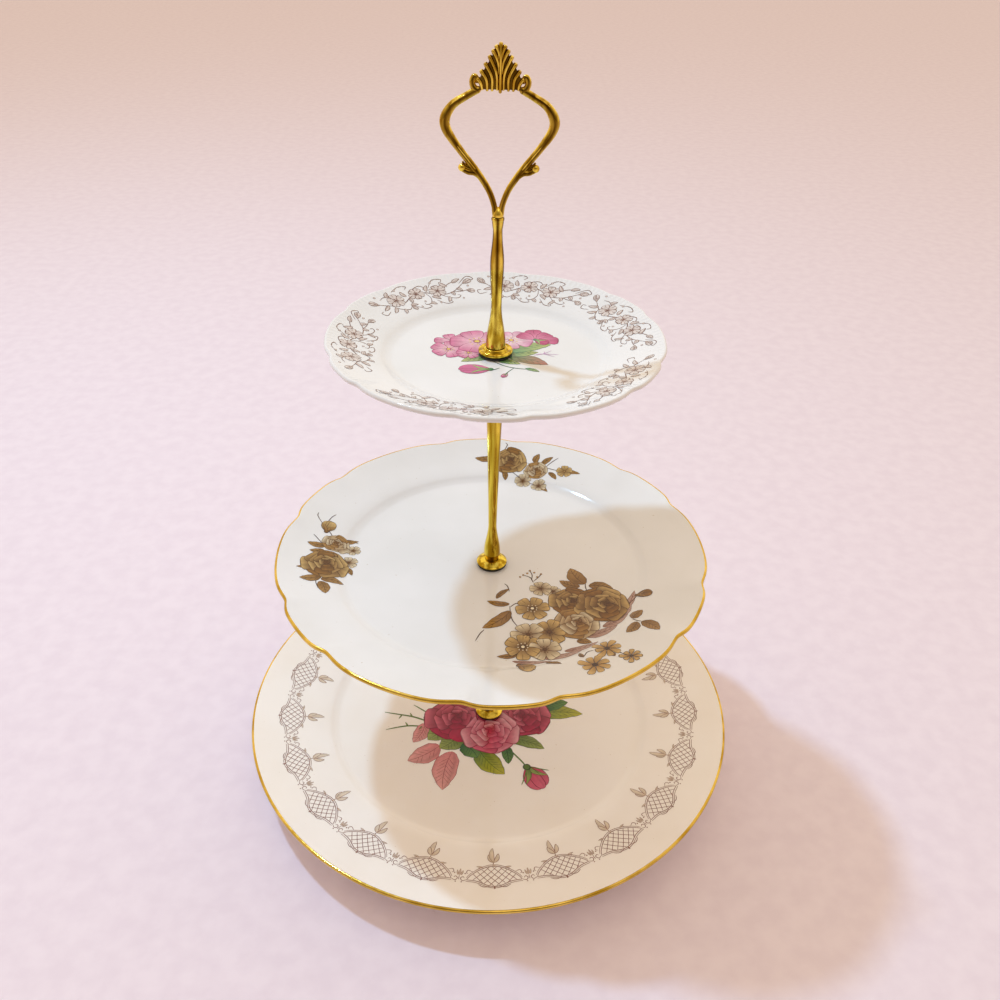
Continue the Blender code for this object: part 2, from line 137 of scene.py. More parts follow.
# ---------------------------------------------------------------- mesh building
class Patchwork:
    """Gathers grids and fans into one mesh, with a paint colour and a material at each face."""

    def __init__(self):
        self.points = []
        self.faces = []
        self.paint = []
        self.finish = []
        self.count = 0

    def grid(self, points, paint=(1, 1, 1), finish=0, close_rows=False, close_columns=False):
        """Add a rows x columns sheet of points; finish is one material number or one per row."""
        points = np.asarray(points, float)
        rows, columns = points.shape[:2]
        index = self.count + np.arange(rows * columns).reshape(rows, columns)
        if close_rows:
            index = np.vstack([index, index[:1]])
        if close_columns:
            index = np.hstack([index, index[:, :1]])
        corners = [index[:-1, :-1], index[:-1, 1:], index[1:, 1:], index[1:, :-1]]
        quads = np.stack(corners, -1)
        per_row = np.broadcast_to(np.asarray(finish).reshape(-1, 1), quads.shape[:2])
        self.faces += quads.reshape(-1, 4).tolist()
        self.finish += per_row.ravel().tolist()
        self.points.append(points.reshape(-1, 3))
        self.paint.append(np.broadcast_to(paint, points.shape).reshape(-1, 3))
        self.count += rows * columns

    def fan(self, ring, tip):
        """Close a ring of points on one tip point."""
        size = len(ring)
        ring_index = self.count + np.arange(size)
        last = self.count + size
        self.faces += [[int(a), int(b), last] for a, b in zip(ring_index, np.roll(ring_index, -1))]
        self.finish += [0] * size
        self.points.append(np.vstack([ring, [tip]]))
        self.paint.append(np.ones((size + 1, 3)))
        self.count += size + 1

    def face_up(self, hole):
        """Turn every face of a thin print upward and leave out those over the middle hole."""
        points = np.vstack(self.points)
        reach = np.hypot(points[:, 0], points[:, 1])
        faces = np.array(self.faces)
        clear = reach[faces].min(1) > hole
        self.faces = faces[clear].tolist()
        self.finish = np.array(self.finish)[clear].tolist()
        corners = points[faces[clear]]
        one, other = corners[:, 2] - corners[:, 0], corners[:, 3] - corners[:, 1]
        down = one[:, 0] * other[:, 1] - one[:, 1] * other[:, 0] < 0
        self.faces = [face[::-1] if low else face for face, low in zip(self.faces, down)]

    def build(self, name, surfaces, flip=False):
        """Return the finished object with smooth faces."""
        mesh = bpy.data.meshes.new(name)
        faces = [face[::-1] for face in self.faces] if flip else self.faces
        mesh.from_pydata(np.vstack(self.points).tolist(), [], faces)
        mesh.polygons.foreach_set("material_index", np.array(self.finish, np.int32))
        colours = np.ones((self.count, 4))
        colours[:, :3] = np.vstack(self.paint)
        layer = mesh.color_attributes.new("paint", "FLOAT_COLOR", "POINT")
        layer.data.foreach_set("color", colours.ravel())
        for surface in surfaces:
            mesh.materials.append(surface)
        mesh.shade_smooth()
        mesh.set_sharp_from_angle(angle=CREASE_ANGLE)
        thing = bpy.data.objects.new(name, mesh)
        bpy.context.collection.objects.link(thing)
        return thing


def flat_map(thing, across, upward):
    """Lay a flat map named OFBake over a piece, on two of its axes."""
    mesh = thing.data
    spots = np.empty(len(mesh.vertices) * 3)
    mesh.vertices.foreach_get("co", spots)
    corners = np.empty(len(mesh.loops), np.int32)
    mesh.loops.foreach_get("vertex_index", corners)
    flat = spots.reshape(-1, 3)[:, [across, upward]]
    low, high = flat.min(0), flat.max(0)
    flat = 0.02 + 0.96 * (flat - low) / (high - low)
    mesh.uv_layers.new(name="OFBake").data.foreach_set("uv", flat[corners].ravel())
    return thing


def fit(thing, body, slot, *nodes):
    """Put a finished piece on its body, in place of its CAD nodes, which it hides; slot is not
    used.
    """
    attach(thing, body)
    if nodes:
        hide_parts(*nodes)


def rounded(outline, passes=3, closed=True):
    """Soften a section by cutting its corners."""
    line = np.array(outline, float)
    for _ in range(passes):
        after = np.roll(line, -1, 0) if closed else line[1:]
        before = line if closed else line[:-1]
        near = before * 0.75 + after * 0.25
        far = before * 0.25 + after * 0.75
        cut = np.stack([near, far], 1).reshape(-1, 2)
        line = cut if closed else np.vstack([line[:1], cut, line[-1:]])
    return line


def turned(outline, steps):
    """Sweep a (radius, height) line round the rod; returns rows x steps x 3 points."""
    outline = np.asarray(outline, float)
    turn = circle(steps)
    radius, height = outline[:, :1], outline[:, 1:]
    return polar(radius, turn, height + 0 * turn)


def eased(stations, steps):
    """Join (radius, height) stations with smooth S-shaped sweeps."""
    curve = [stations[0]]
    for (near, low), (far, high) in zip(stations, stations[1:]):
        for step in range(1, steps + 1):
            share = step / steps
            blend = (1 - cos(pi * share)) / 2
            curve.append((near + (far - near) * blend, low + (high - low) * share))
    return curve


def through(points, steps):
    """Return a smooth curve through points of any dimension (Catmull-Rom)."""
    knots = np.array(points, float)
    knots = np.vstack([2 * knots[0] - knots[1], knots, 2 * knots[-1] - knots[-2]])
    share = np.linspace(0, 1, steps, endpoint=False)[:, None]
    parts = []
    for a, b, c, d in zip(knots, knots[1:], knots[2:], knots[3:]):
        squared = (2 * a - 5 * b + 4 * c - d) * share**2
        cubed = (3 * b - a - 3 * c + d) * share**3
        parts.append(0.5 * (2 * b + (c - a) * share + squared + cubed))
    return np.vstack([*parts, knots[-2:-1]])


# ---------------------------------------------------------------- materials
class Recipe:
    """A Principled material with short helpers for its procedural nodes."""

    def __init__(self, name, **sockets):
        self.material = bpy.data.materials.new(name)
        self.material.use_nodes = True
        self.nodes = self.material.node_tree.nodes
        self.shader = self.nodes["Principled BSDF"]
        for socket, value in sockets.items():
            self.shader.inputs[socket.replace("_", " ")].default_value = value
        self.place = self.add("TexCoord").outputs["Object"]

    def add(self, kind, **sockets):
        """Return a new shader node with its sockets set."""
        node = self.nodes.new("ShaderNode" + kind)
        for socket, value in sockets.items():
            node.inputs[socket].default_value = value
        return node

    def link(self, output, socket):
        """Join an output to a socket."""
        self.material.node_tree.links.new(output, socket)

    def painted(self):
        """Return the mesh's own colours."""
        node = self.add("Attribute")
        node.attribute_name = "paint"
        return node.outputs["Color"]

    def noise(self, scale, detail=2.0, stretch=None):
        """Return the value of a noise with about scale features a metre."""
        node = self.add("TexNoise", Scale=scale, Detail=detail)
        place = self.place
        if stretch:
            mapping = self.add("Mapping", Scale=stretch)
            self.link(place, mapping.inputs["Vector"])
            place = mapping.outputs["Vector"]
        self.link(place, node.inputs["Vector"])
        return node.outputs["Fac"]

    def ramp(self, value, low, high, start=0.35, end=0.65):
        """Return a value or colour that runs from low to high as value goes from start to end."""
        node = self.add("ValToRGB")
        for stop, at, colour in zip(node.color_ramp.elements, (start, end), (low, high)):
            stop.position = at
            level = colour if np.ndim(colour) else (colour, colour, colour)
            stop.color = (*[float(part) for part in level], 1.0)
        self.link(value, node.inputs["Fac"])
        return node.outputs["Color"]

    def times(self, one, other):
        """Return one colour multiplied by another."""
        node = self.add("Mix", Factor=1.0)
        node.data_type = "RGBA"
        node.blend_type = "MULTIPLY"
        first, second = [socket for socket in node.inputs if socket.type == "RGBA"]
        self.link(one, first)
        self.link(other, second)
        return next(socket for socket in node.outputs if socket.type == "RGBA")

    def colour(self, output):
        """Use an output as the base colour."""
        self.link(output, self.shader.inputs["Base Color"])

    def roughness(self, output):
        """Use an output as the roughness."""
        self.link(output, self.shader.inputs["Roughness"])

    def bumps(self, *layers):
        """Stack bump layers, each (height value, depth in metres)."""
        below = None
        for height, depth in layers:
            node = self.add("Bump", Strength=1.0, Distance=depth)
            self.link(height, node.inputs["Height"])
            if below:
                self.link(below, node.inputs["Normal"])
            below = node.outputs["Normal"]
        self.link(below, self.shader.inputs["Normal"])


def glaze(name, light, dark):
    """White glazed china: faint clouding, kiln specks, gentle ripples in the gloss."""
    made = Recipe(name, IOR=1.5, Specular_IOR_Level=0.55)
    clouds = made.ramp(made.noise(22, 3), dark, light)
    specks = made.ramp(made.noise(900, 1), srgb(214, 202, 186), (1, 1, 1), 0.17, 0.21)
    made.colour(made.times(clouds, specks))
    made.roughness(made.ramp(made.noise(60, 3), 0.07, 0.14))
    made.bumps((made.noise(28, 1), 0.05 * MM), (made.noise(330, 2), 0.004 * MM))
    return made.material


def print_paint():
    """Fired transfer print: its own colours, a little mottled, under the same gloss."""
    made = Recipe("print", IOR=1.5)
    wash = made.ramp(made.noise(420, 4), (0.86, 0.86, 0.86), (1, 1, 1))
    made.colour(made.times(made.painted(), wash))
    made.roughness(made.ramp(made.noise(260, 3), 0.11, 0.20))
    made.bumps((made.noise(900, 3), 0.006 * MM))
    return made.material


def mottled(name, clouds, gloss, ripple, **sockets):
    """A surface whose colour, roughness and relief each follow a noise of their own.

    Clouds and gloss are (scale, detail, low, high); ripple is (scale, detail, depth).
    """
    made = Recipe(name, **sockets)
    made.colour(made.ramp(made.noise(*clouds[:2]), *clouds[2:]))
    made.roughness(made.ramp(made.noise(*gloss[:2]), *gloss[2:]))
    made.bumps((made.noise(*ripple[:2]), ripple[2]))
    return made.material


def plating(name, dark, light, run):
    """Polished gold plate over a zinc casting: long dark streaks, partly tarnish and partly painted
    reflection, casting ripple, fine scratches.

    Run below 1 draws the streaks out along the rod.
    """
    made = Recipe(name, Metallic=1.0)
    # long streaks that are partly tarnish and partly painted reflection
    tarnish_and_reflection = made.ramp(made.noise(420, 2, stretch=(1.0, 1.0, run)), dark, light, 0.40, 0.60)
    made.colour(made.times(tarnish_and_reflection, made.painted()))
    made.roughness(made.ramp(made.noise(210, 4), 0.06, 0.18))
    scratches = made.noise(900, 2, stretch=(1.0, 1.0, 0.08))
    made.bumps((made.noise(150, 2), 0.05 * MM), (scratches, 0.006 * MM))
    return made.material


CHINA_WARM = glaze("glaze_ivory", srgb(240, 241, 243), srgb(233, 234, 234))
CHINA_COOL = glaze("glaze_white", srgb(240, 241, 242), srgb(234, 235, 235))
CHINA_CREAM = glaze("glaze_cream", srgb(253, 249, 243), srgb(249, 243, 234))
PRINT = print_paint()
# Brushed-on gold edge line, a little thin and worn in places.
GILT = mottled("gilt", (70, 3, *palette((194, 158, 50), (240, 208, 104))), (500, 3, 0.09, 0.22),
               (700, 3, 0.006 * MM), Metallic=1.0)
GOLD = plating("gold_bright", srgb(170, 134, 22), srgb(250, 222, 86), 0.05)
OLD_GOLD = plating("gold_aged", srgb(192, 154, 44), srgb(252, 222, 96), 0.25)
# Matt dark rubber with moulding grain and dusty patches.
RUBBER = mottled("washer_rubber", (240, 4, (0.012, 0.013, 0.016), (0.045, 0.043, 0.042)),
                 (600, 3, 0.50, 0.78), (1800, 2, 0.02 * MM), Specular_IOR_Level=0.35)
# Zinc-plated steel with a cloudy spangle and turning marks.
ZINC = mottled("zinc_steel", (320, 5, (0.42, 0.42, 0.40), (0.66, 0.66, 0.64)),
               (500, 3, 0.24, 0.42), (1400, 2, 0.008 * MM), Metallic=1.0)


# ---------------------------------------------------------------- plates
class Plate:
    """One plate's shape: its section, its lobes, and the height of its face at any place."""

    def __init__(self, node, well_share, rise, notch, first_lobe):
        self.node = node
        self.edge, self.foot_level, self.rim_level = extent(node)
        self.level = self.rim_level - rise
        self.well = self.edge * well_share
        self.rise = rise
        self.notch = notch
        self.first_lobe = first_lobe
        self.shoulder = self.well + 4.5 * MM
        self.middle = (self.shoulder + self.edge) / 2
        self.face = rounded(self.face_line(), 3, closed=False)

    def face_line(self):
        """Section of the food side from the hole to the start of the lip."""
        return [
            (HOLE_REACH, 0.0),
            (self.well - 3.0 * MM, 0.0),
            (self.well + 0.8 * MM, self.rise * 0.10),
            (self.shoulder, self.rise * 0.32),
            (self.middle, self.rise * 0.60),
            (self.edge - 1.3 * MM, self.rise * 0.985),
        ]

    def back_line(self):
        """Section of the underside from the lip to the hole, round the foot ring."""
        ring = self.well - 3.0 * MM
        under = -PLATE_THICKNESS
        foot = self.foot_level - self.level
        return [
            (self.edge - 1.0 * MM, self.rise - LIP_THICKNESS),
            (self.middle, self.rise * 0.60 - 3.4 * MM),
            (ring + 4.2 * MM, under + 1.0 * MM),
            (ring + 2.6 * MM, under - 0.8 * MM),
            (ring + 1.6 * MM, foot + 0.2 * MM),
            (ring + 0.6 * MM, foot),
            (ring - 0.6 * MM, foot),
            (ring - 1.4 * MM, foot + 0.5 * MM),
            (ring - 2.8 * MM, under - 0.6 * MM),
            (ring - 5.0 * MM, under),
            (HOLE_REACH, under),
        ]

    def lip_line(self):
        """The rounded edge between face and back."""
        half = LIP_THICKNESS / 2
        turn = np.linspace(radians(70), radians(-75), 9)
        return polar(half, turn) + [self.edge - half, self.rise - half]

    def inset(self, turn):
        """How far into a notch an angle lies: 0 mid-lobe, 1 at the notch."""
        pitch = 2 * pi / LOBE_PAIRS
        wide = pitch - NARROW_LOBE
        along = (turn - self.first_lobe + NARROW_LOBE / 2) % pitch
        narrow = np.abs(along / (NARROW_LOBE / 2) - 1)
        broad = np.abs((along - NARROW_LOBE) / (wide / 2) - 1)
        share = np.where(along < NARROW_LOBE, narrow, broad)
        return (1 - np.cos(pi * share**3)) / 2

    def pull(self, turn):
        """Share of the rim's width taken in at an angle."""
        return self.notch * self.inset(turn) / (self.edge - self.shoulder)

    def height(self, x, y):
        """Level of the plate's face above the table at x, y."""
        radius, turn = np.hypot(x, y), np.arctan2(y, x)
        pull = self.pull(turn)
        plain = (radius - pull * self.shoulder) / (1 - pull)
        plain = np.where(radius > self.shoulder, plain, radius)
        return self.level + np.interp(plain, self.face[:, 0], self.face[:, 1])

    def lay(self, flat, layer=0):
        """Drape flat points on the face, a step higher for each layer."""
        x, y = flat[..., 0], flat[..., 1]
        lift = PRINT_LIFT + layer * PRINT_STEP
        return np.stack([x, y, self.height(x, y) + lift], -1)

    def body(self, surface, steps, flutes=0):
        """Build the china itself; the lip takes the second surface."""
        face, lip = self.face, self.lip_line()
        section = np.vstack([face, lip, rounded(self.back_line(), 2, closed=False)])
        turn = self.first_lobe - NARROW_LOBE / 2 + self.lobe_steps(steps)
        radius = section[:, :1] + 0 * turn
        height = self.level + section[:, 1:] + 0 * turn
        share = np.clip((radius - self.shoulder) / (self.edge - self.shoulder), 0, 1)
        radius = radius - self.notch * share * self.inset(turn)
        if flutes:
            fade = np.clip((share - 0.76) / 0.08, 0, 1) * np.clip((0.985 - share) / 0.05, 0, 1)
            top = (np.arange(len(section)) < len(face))[:, None]
            height = height + FLUTE_DEPTH * fade * top * np.cos(flutes * turn)
        points = polar(radius, turn, height)
        work = Patchwork()
        finish = np.zeros(len(section), int)
        finish[len(face) - 1 : len(face) + len(lip) - 2] = 1
        work.grid(points, finish=finish, close_rows=True, close_columns=True)
        return work.build(self.node + "_china", surface, flip=True)

    def lobe_steps(self, steps):
        """Angles for one full turn that land on every notch."""
        pitch = 2 * pi / LOBE_PAIRS
        each = steps // LOBE_PAIRS
        narrow = each * 3 // 8
        wide = each - narrow
        short = NARROW_LOBE * np.arange(narrow) / narrow
        long = NARROW_LOBE + (pitch - NARROW_LOBE) * np.arange(wide) / wide
        one = np.concatenate([short, long])
        return np.concatenate([one + pitch * lobe for lobe in range(LOBE_PAIRS)])


TOP = Plate("top_plate", 0.635, 10.0 * MM, 1.2 * MM, radians(30))
MIDDLE = Plate("middle_plate", 0.70, 10.2 * MM, 2.1 * MM, radians(35))
BOTTOM = Plate("bottom_plate", 0.655, 11.0 * MM, 0.0, 0.0)


def china():
    """The three plates in their glazes."""
    top = TOP.body([CHINA_WARM, CHINA_WARM], TOP_STEPS, flutes=RIM_FLUTES)
    fit(top, "top_tier", "china", "top_plate")
    middle = MIDDLE.body([CHINA_COOL, GILT], LOWER_STEPS)
    fit(middle, "middle_tier", "china", "middle_plate")
    bottom = BOTTOM.body([CHINA_CREAM, GILT], LOWER_STEPS)
    fit(bottom, "bottom_tier", "china", "bottom_plate")


# ---------------------------------------------------------------- printed flowers
class Print:
    """Draws one plate's print in millimetres: every stroke is a thin sheet on the glaze.

    Each sheet lies a little above or below its neighbours, so that no two share a level.
    """

    def __init__(self, plate):
        self.plate = plate
        self.work = Patchwork()
        self.bend_to_rim = None
        self.laid = 0

    def along_rim(self, radius, azimuth):
        """Draw from now on with x clockwise along the rim and y outward."""
        self.bend_to_rim = (radius, azimuth)

    def lay(self, flat, paint, layer):
        """Drape a sheet of (x, y) points on the plate, facing up."""
        flat = np.asarray(flat, float)
        if self.bend_to_rim:
            radius, azimuth = self.bend_to_rim
            turn = azimuth - flat[..., 0] / radius
            reach = radius + flat[..., 1]
            flat = polar(reach, turn)
        self.laid += 1
        lifted = self.plate.lay(flat * MM, layer + self.laid * LAYER_SHARE % 1.0)
        self.work.grid(lifted, np.broadcast_to(paint, (*flat.shape[:2], 3)))

    def stroke(self, path, width, ink, layer=1, steps=6, tip=0.3):
        """A pen line through points, thinner at both ends."""
        line = through(path, steps)
        along = directions(line)
        swell = tip + (1 - tip) * np.sin(pi * np.linspace(0, 1, len(line))) ** 0.5
        half = np.stack([-along[:, 1], along[:, 0]], 1) * (width / 2 * swell)[:, None]
        self.lay(np.stack([line + half, line - half], 1), ink, layer)

    def dot(self, middle, radius, ink, layer=2, rim=None):
        """A round dab, with an outline if rim is given."""
        turn = np.linspace(0, 2 * pi, 15)
        reach = np.array([0.02, 0.70, 0.72, 1.0])[:, None] * radius
        rim = ink if rim is None else rim
        self.lay(polar(reach, turn) + middle, np.array([ink, ink, rim, rim])[:, None], layer)

    def blade(self, root, tip, width, inks, layer=2, ends=(0.5, 0.5), bend=0.0, ruffle=0.0,
              edge=0.26, shade=0.16, rows=11, ruffles=5, fade=1.0):
        """A petal or leaf from root to tip; inks are its outline, root colour and tip colour."""
        root, tip = np.array(root, float), np.array(tip, float)
        way = tip - root
        length = np.hypot(*way)
        way /= length
        side = np.array([-way[1], way[0]])
        outline, near, far = (np.asarray(ink, float) for ink in inks)
        share = (1 - np.cos(np.linspace(0, pi, rows + 1))) / 2
        widest = ends[0] / (ends[0] + ends[1])
        body = share ** ends[0] * (1 - share) ** ends[1]
        body /= widest ** ends[0] * (1 - widest) ** ends[1]
        body *= 1 + ruffle * np.sin(ruffles * 2 * pi * share)
        half = width / 2 * body
        inner = half - np.minimum(edge, half * 0.5)
        across = np.linspace(-1, 1, 7)
        middle = inner[:, None] * 0.985 * across
        v = np.hstack([-half[:, None], -inner[:, None], middle, inner[:, None], half[:, None]])
        v += (bend * length * 4 * share * (1 - share))[:, None]
        points = root + (share * length)[:, None, None] * way + v[..., None] * side
        fill = near + (far - near) * share[:, None, None] ** fade
        streak = 1 - shade * (0.5 + 0.5 * np.cos(across * 8 + length)) - shade * 0.5 * (across > 0)
        fill = fill * streak[None, :, None]
        rim = np.broadcast_to(outline, (rows + 1, 2, 3))
        paint = np.concatenate([rim, fill, rim], 1).copy()
        paint[(1 - share) * length < edge] = outline
        self.lay(points, paint, layer)

    def leaf(self, root, tip, width, inks, layer, bend, veins=4):
        """A leaf with a toothed edge, a midrib and side veins."""
        self.blade(root, tip, width, inks, layer, (0.62, 0.85), bend, 0.05, 0.22, 0.20, 13, 6)
        root, tip = np.array(root, float), np.array(tip, float)
        way = tip - root
        side = np.array([-way[1], way[0]]) / np.hypot(*way)
        vein = inks[0]
        length = np.hypot(*way)

        def spot(share, out):
            """Return a place along the bent leaf, out from its midrib by half-widths."""
            rise = bend * length * 4 * share * (1 - share)
            return root + way * share + side * (rise + out * width / 2)

        self.stroke([spot(s, 0) for s in (0.0, 0.35, 0.7, 0.97)], 0.30, vein, layer + 0.6, 4)
        for share in np.linspace(0.18, 0.68, veins):
            for out in (-0.62, 0.62):
                ends = [spot(share, 0), spot(share + 0.10, out * 0.55), spot(share + 0.17, out)]
                self.stroke(ends, 0.20, vein, layer + 0.6, 3)

    def rose(self, middle, radius, inks, turn=0.0, layer=3, lean=(0.0, 0.0), edge=0.24):
        """A full rose: rings of cupped petals round a swirled heart; lean shifts the heart."""
        outline, deep, mid, light = (np.asarray(ink, float) for ink in inks)
        for level, (count, reach, start, width) in enumerate(ROSE_RINGS):
            heart = np.array(middle, float) + np.array(lean) * radius * level / 3
            for k in range(count):
                way = heading(turn + 0.9 * level + 2 * pi * k / count)
                size = 1 + 0.09 * sin(2.3 * k + level + turn)
                tone = (light, mid, (light + mid) / 2)[(k + level) % 3]
                root, tip = heart + way * start * radius, heart + way * reach * radius * size
                self.blade(root, tip, width * radius, (outline, deep, tone),
                           layer + level * 1.5 + 0.2 * (k % 3), (0.60, 0.30), 0.05 * (-1) ** k,
                           0.035, edge, fade=2.6)
        heart = np.array(middle, float) + np.array(lean) * radius
        for k in range(3):
            twist = turn + k * 2.1 + np.linspace(0, 2.6, 5)
            reach = radius * np.linspace(0.05, 0.24, 5)
            self.stroke(polar(reach, twist) + heart, 0.34, outline, layer + 7, 5)

    def blossom(self, middle, radius, inks, eye, turn=0.0, petals=5, layer=3, edge=0.24,
                span=2 * pi):
        """An open flower: broad petals round a stamened eye; span below a full turn gives a fan."""
        middle = np.array(middle, float)
        outline, deep, light = inks[0], inks[1], inks[-1]
        full = span > 6
        first, gaps = (0, petals) if full else ((petals - 1) / 2, petals - 1)
        for k in range(petals):
            way = heading(turn + span * (k - first) / gaps)
            tip = middle + way * radius * (1 + 0.08 * sin(3.1 * k + turn))
            root = middle + way * radius * 0.06
            width = radius * (4.6 / petals if full else 0.78)
            self.blade(root, tip, width, (outline, deep, light), layer + 0.4 * (k % 2),
                       (0.75, 0.28), 0.03 * (-1) ** k, 0.03, edge)
            notch = middle + way * radius * 0.55
            self.stroke([notch, (notch + tip) / 2, tip], 0.22, outline, layer + 1, 3)
        if eye is None:
            return
        for k in range(9):
            reach = radius * (0.26 + 0.05 * (k % 2))
            spot = middle + reach * heading(turn + 2 * pi * k / 9)
            self.stroke([middle, (middle + spot) / 2, spot], 0.18, outline, layer + 1.6, 2)
            self.dot(spot, max(0.22, radius * 0.035), eye, layer + 2)
        self.dot(middle, radius * 0.14, eye, layer + 2.2, outline)

    def bud(self, root, tip, width, inks, greens, layer=3, edge=0.22):
        """A closed rosebud with its calyx."""
        root, tip = np.array(root, float), np.array(tip, float)
        way = tip - root
        side = np.array([-way[1], way[0]]) / np.hypot(*way) * width
        for out, reach, share in ((0.20, 0.94, 0.72), (-0.20, 0.97, 0.72), (0.0, 1.0, 0.60)):
            end = root + way * reach + side * out
            self.blade(root, end, width * share, inks, layer + reach, (0.6, 0.42), out * 0.5,
                       0.03, edge)
        for out, reach in ((0.62, 0.62), (-0.62, 0.58), (0.30, 0.50), (-0.22, 0.46)):
            self.blade(root - way * 0.08, root + way * reach + side * out, width * 0.26, greens,
                       layer + 2, (0.5, 0.8), out * -0.2, 0, edge * 0.7, rows=7)
        self.dot(root, width * 0.20, greens[1], layer + 2.4, greens[0])

    def twigs(self, width, ink, *paths):
        """Pen lines of one width and ink."""
        for path in paths:
            self.stroke(path, width, ink)

    def leaves(self, inks, layer, bend, veins, *places):
        """Leaves in one set of inks, each with its root, tip and width."""
        for root, tip, width in places:
            self.leaf(root, tip, width, inks, layer, bend, veins)

    def build(self, name, body):
        """Finish the print as one piece on its plate."""
        self.work.face_up(THREAD_RADIUS + 1.2 * MM)
        sheet = flat_map(self.work.build(name + "_print", [PRINT]), 0, 1)
        fit(sheet, body, "china")


# Inks: outline first, then the colours from the root of a petal to its tip.
PINK = palette((150, 24, 92), (250, 206, 222), (226, 116, 168), (222, 104, 160))
DEEP_PINK = palette((140, 16, 76), (238, 150, 186), (214, 80, 140), (204, 62, 128))
PALE_PINK = palette((172, 56, 120), (252, 236, 240), (240, 178, 208), (232, 150, 192))
YELLOW = srgb(232, 204, 92)
FRESH_LEAF = palette((48, 104, 78), (84, 156, 112), (206, 214, 130))
BLUSH_LEAF = palette((88, 104, 76), (110, 168, 120), (214, 128, 118))
SEPIA = palette((70, 40, 16), (104, 64, 22), (164, 116, 46), (228, 192, 122))
SEPIA_PALE = palette((84, 50, 22), (132, 88, 38), (196, 152, 84), (250, 236, 200))
SEPIA_LEAF = palette((80, 48, 20), (140, 98, 44), (190, 146, 80))
SEPIA_ROSY = palette((128, 84, 72), (178, 136, 118), (214, 182, 168))
CRIMSON = palette((96, 6, 30), (140, 14, 46), (196, 44, 80), (236, 118, 140))
ROSE = palette((132, 16, 50), (190, 44, 82), (228, 112, 138), (250, 190, 198))
DARK_LEAF = palette((20, 56, 30), (34, 92, 46), (110, 152, 70))
OLIVE_LEAF = palette((52, 70, 28), (92, 122, 52), (170, 184, 96))
LIME_LEAF = palette((36, 72, 28), (64, 118, 44), (206, 200, 60))
SALMON_LEAF = palette((150, 66, 72), (226, 138, 138), (240, 176, 168))
VINE = srgb(126, 88, 78)
VINE_TINT = (VINE, srgb(228, 212, 204), srgb(244, 238, 234))
LACE = srgb(150, 110, 98)
LACE_TINT = (LACE, srgb(232, 212, 186), srgb(240, 228, 208))


def wild_rose_spray():
    """Middle of the top plate: wild roses, a bud and painted leaves."""
    art = Print(TOP)
    art.stroke([(-2, -6), (4, -11), (9, -13), (15, -14)], 0.5, FRESH_LEAF[0])
    art.stroke([(8, -13), (6, -16), (4, -19)], 0.4, FRESH_LEAF[0])
    art.stroke([(2, -13), (-1, -15), (-3, -15)], 0.5, FRESH_LEAF[0])
    for end in ((25, 5), (28, 1), (26, -1), (22, 4)):
        art.stroke([(17, 0), (21, 1.5), end], 0.4, srgb(206, 160, 204))
    art.leaf((5, 3), (25, 11), 9.0, FRESH_LEAF, 1, 0.07)
    art.leaf((6, -2), (23, -9), 8.0, BLUSH_LEAF, 1.3, 0.06)
    art.leaf((3, 2), (19, 3), 6.5, FRESH_LEAF, 1.6, -0.05)
    art.leaf((0, -2), (-15, -7.5), 6.5, FRESH_LEAF, 1, -0.08)
    art.leaf((1, -6), (11, -9), 4.5, FRESH_LEAF, 1.3, 0.06)
    art.leaf((13, -13), (19, -16), 2.6, FRESH_LEAF, 1, 0.05, 3)
    art.blossom((18, 16), 10, DEEP_PINK, None, 1.2, 4, 2, span=2.6)
    art.bud((18, 16), (24, 12), 5, DEEP_PINK[:1] + DEEP_PINK[2:], FRESH_LEAF, 3)
    art.blossom((7, 15), 9.5, PALE_PINK, YELLOW, 0.9, 5, 2)
    art.blossom((-20, 13.5), 7.5, PINK, None, 1.9, 3, 2.4, span=2.4)
    art.blossom((-21, 4.5), 8.0, PINK, YELLOW, 2.6, 5, 2.4)
    art.blossom((-12, 1), 5.5, PINK, YELLOW, 0.3, 5, 4)
    art.blossom((-8.5, 13), 12.0, PINK, YELLOW, 0.65, 5, 5)
    art.bud((-2, -14.6), (-16, -14.6), 6.6, (PINK[0], PINK[2], PINK[3]), FRESH_LEAF, 3)
    art.bud((5, -18), (3, -22), 2.0, (PINK[0], PINK[1], PINK[2]), FRESH_LEAF, 3)
    return art


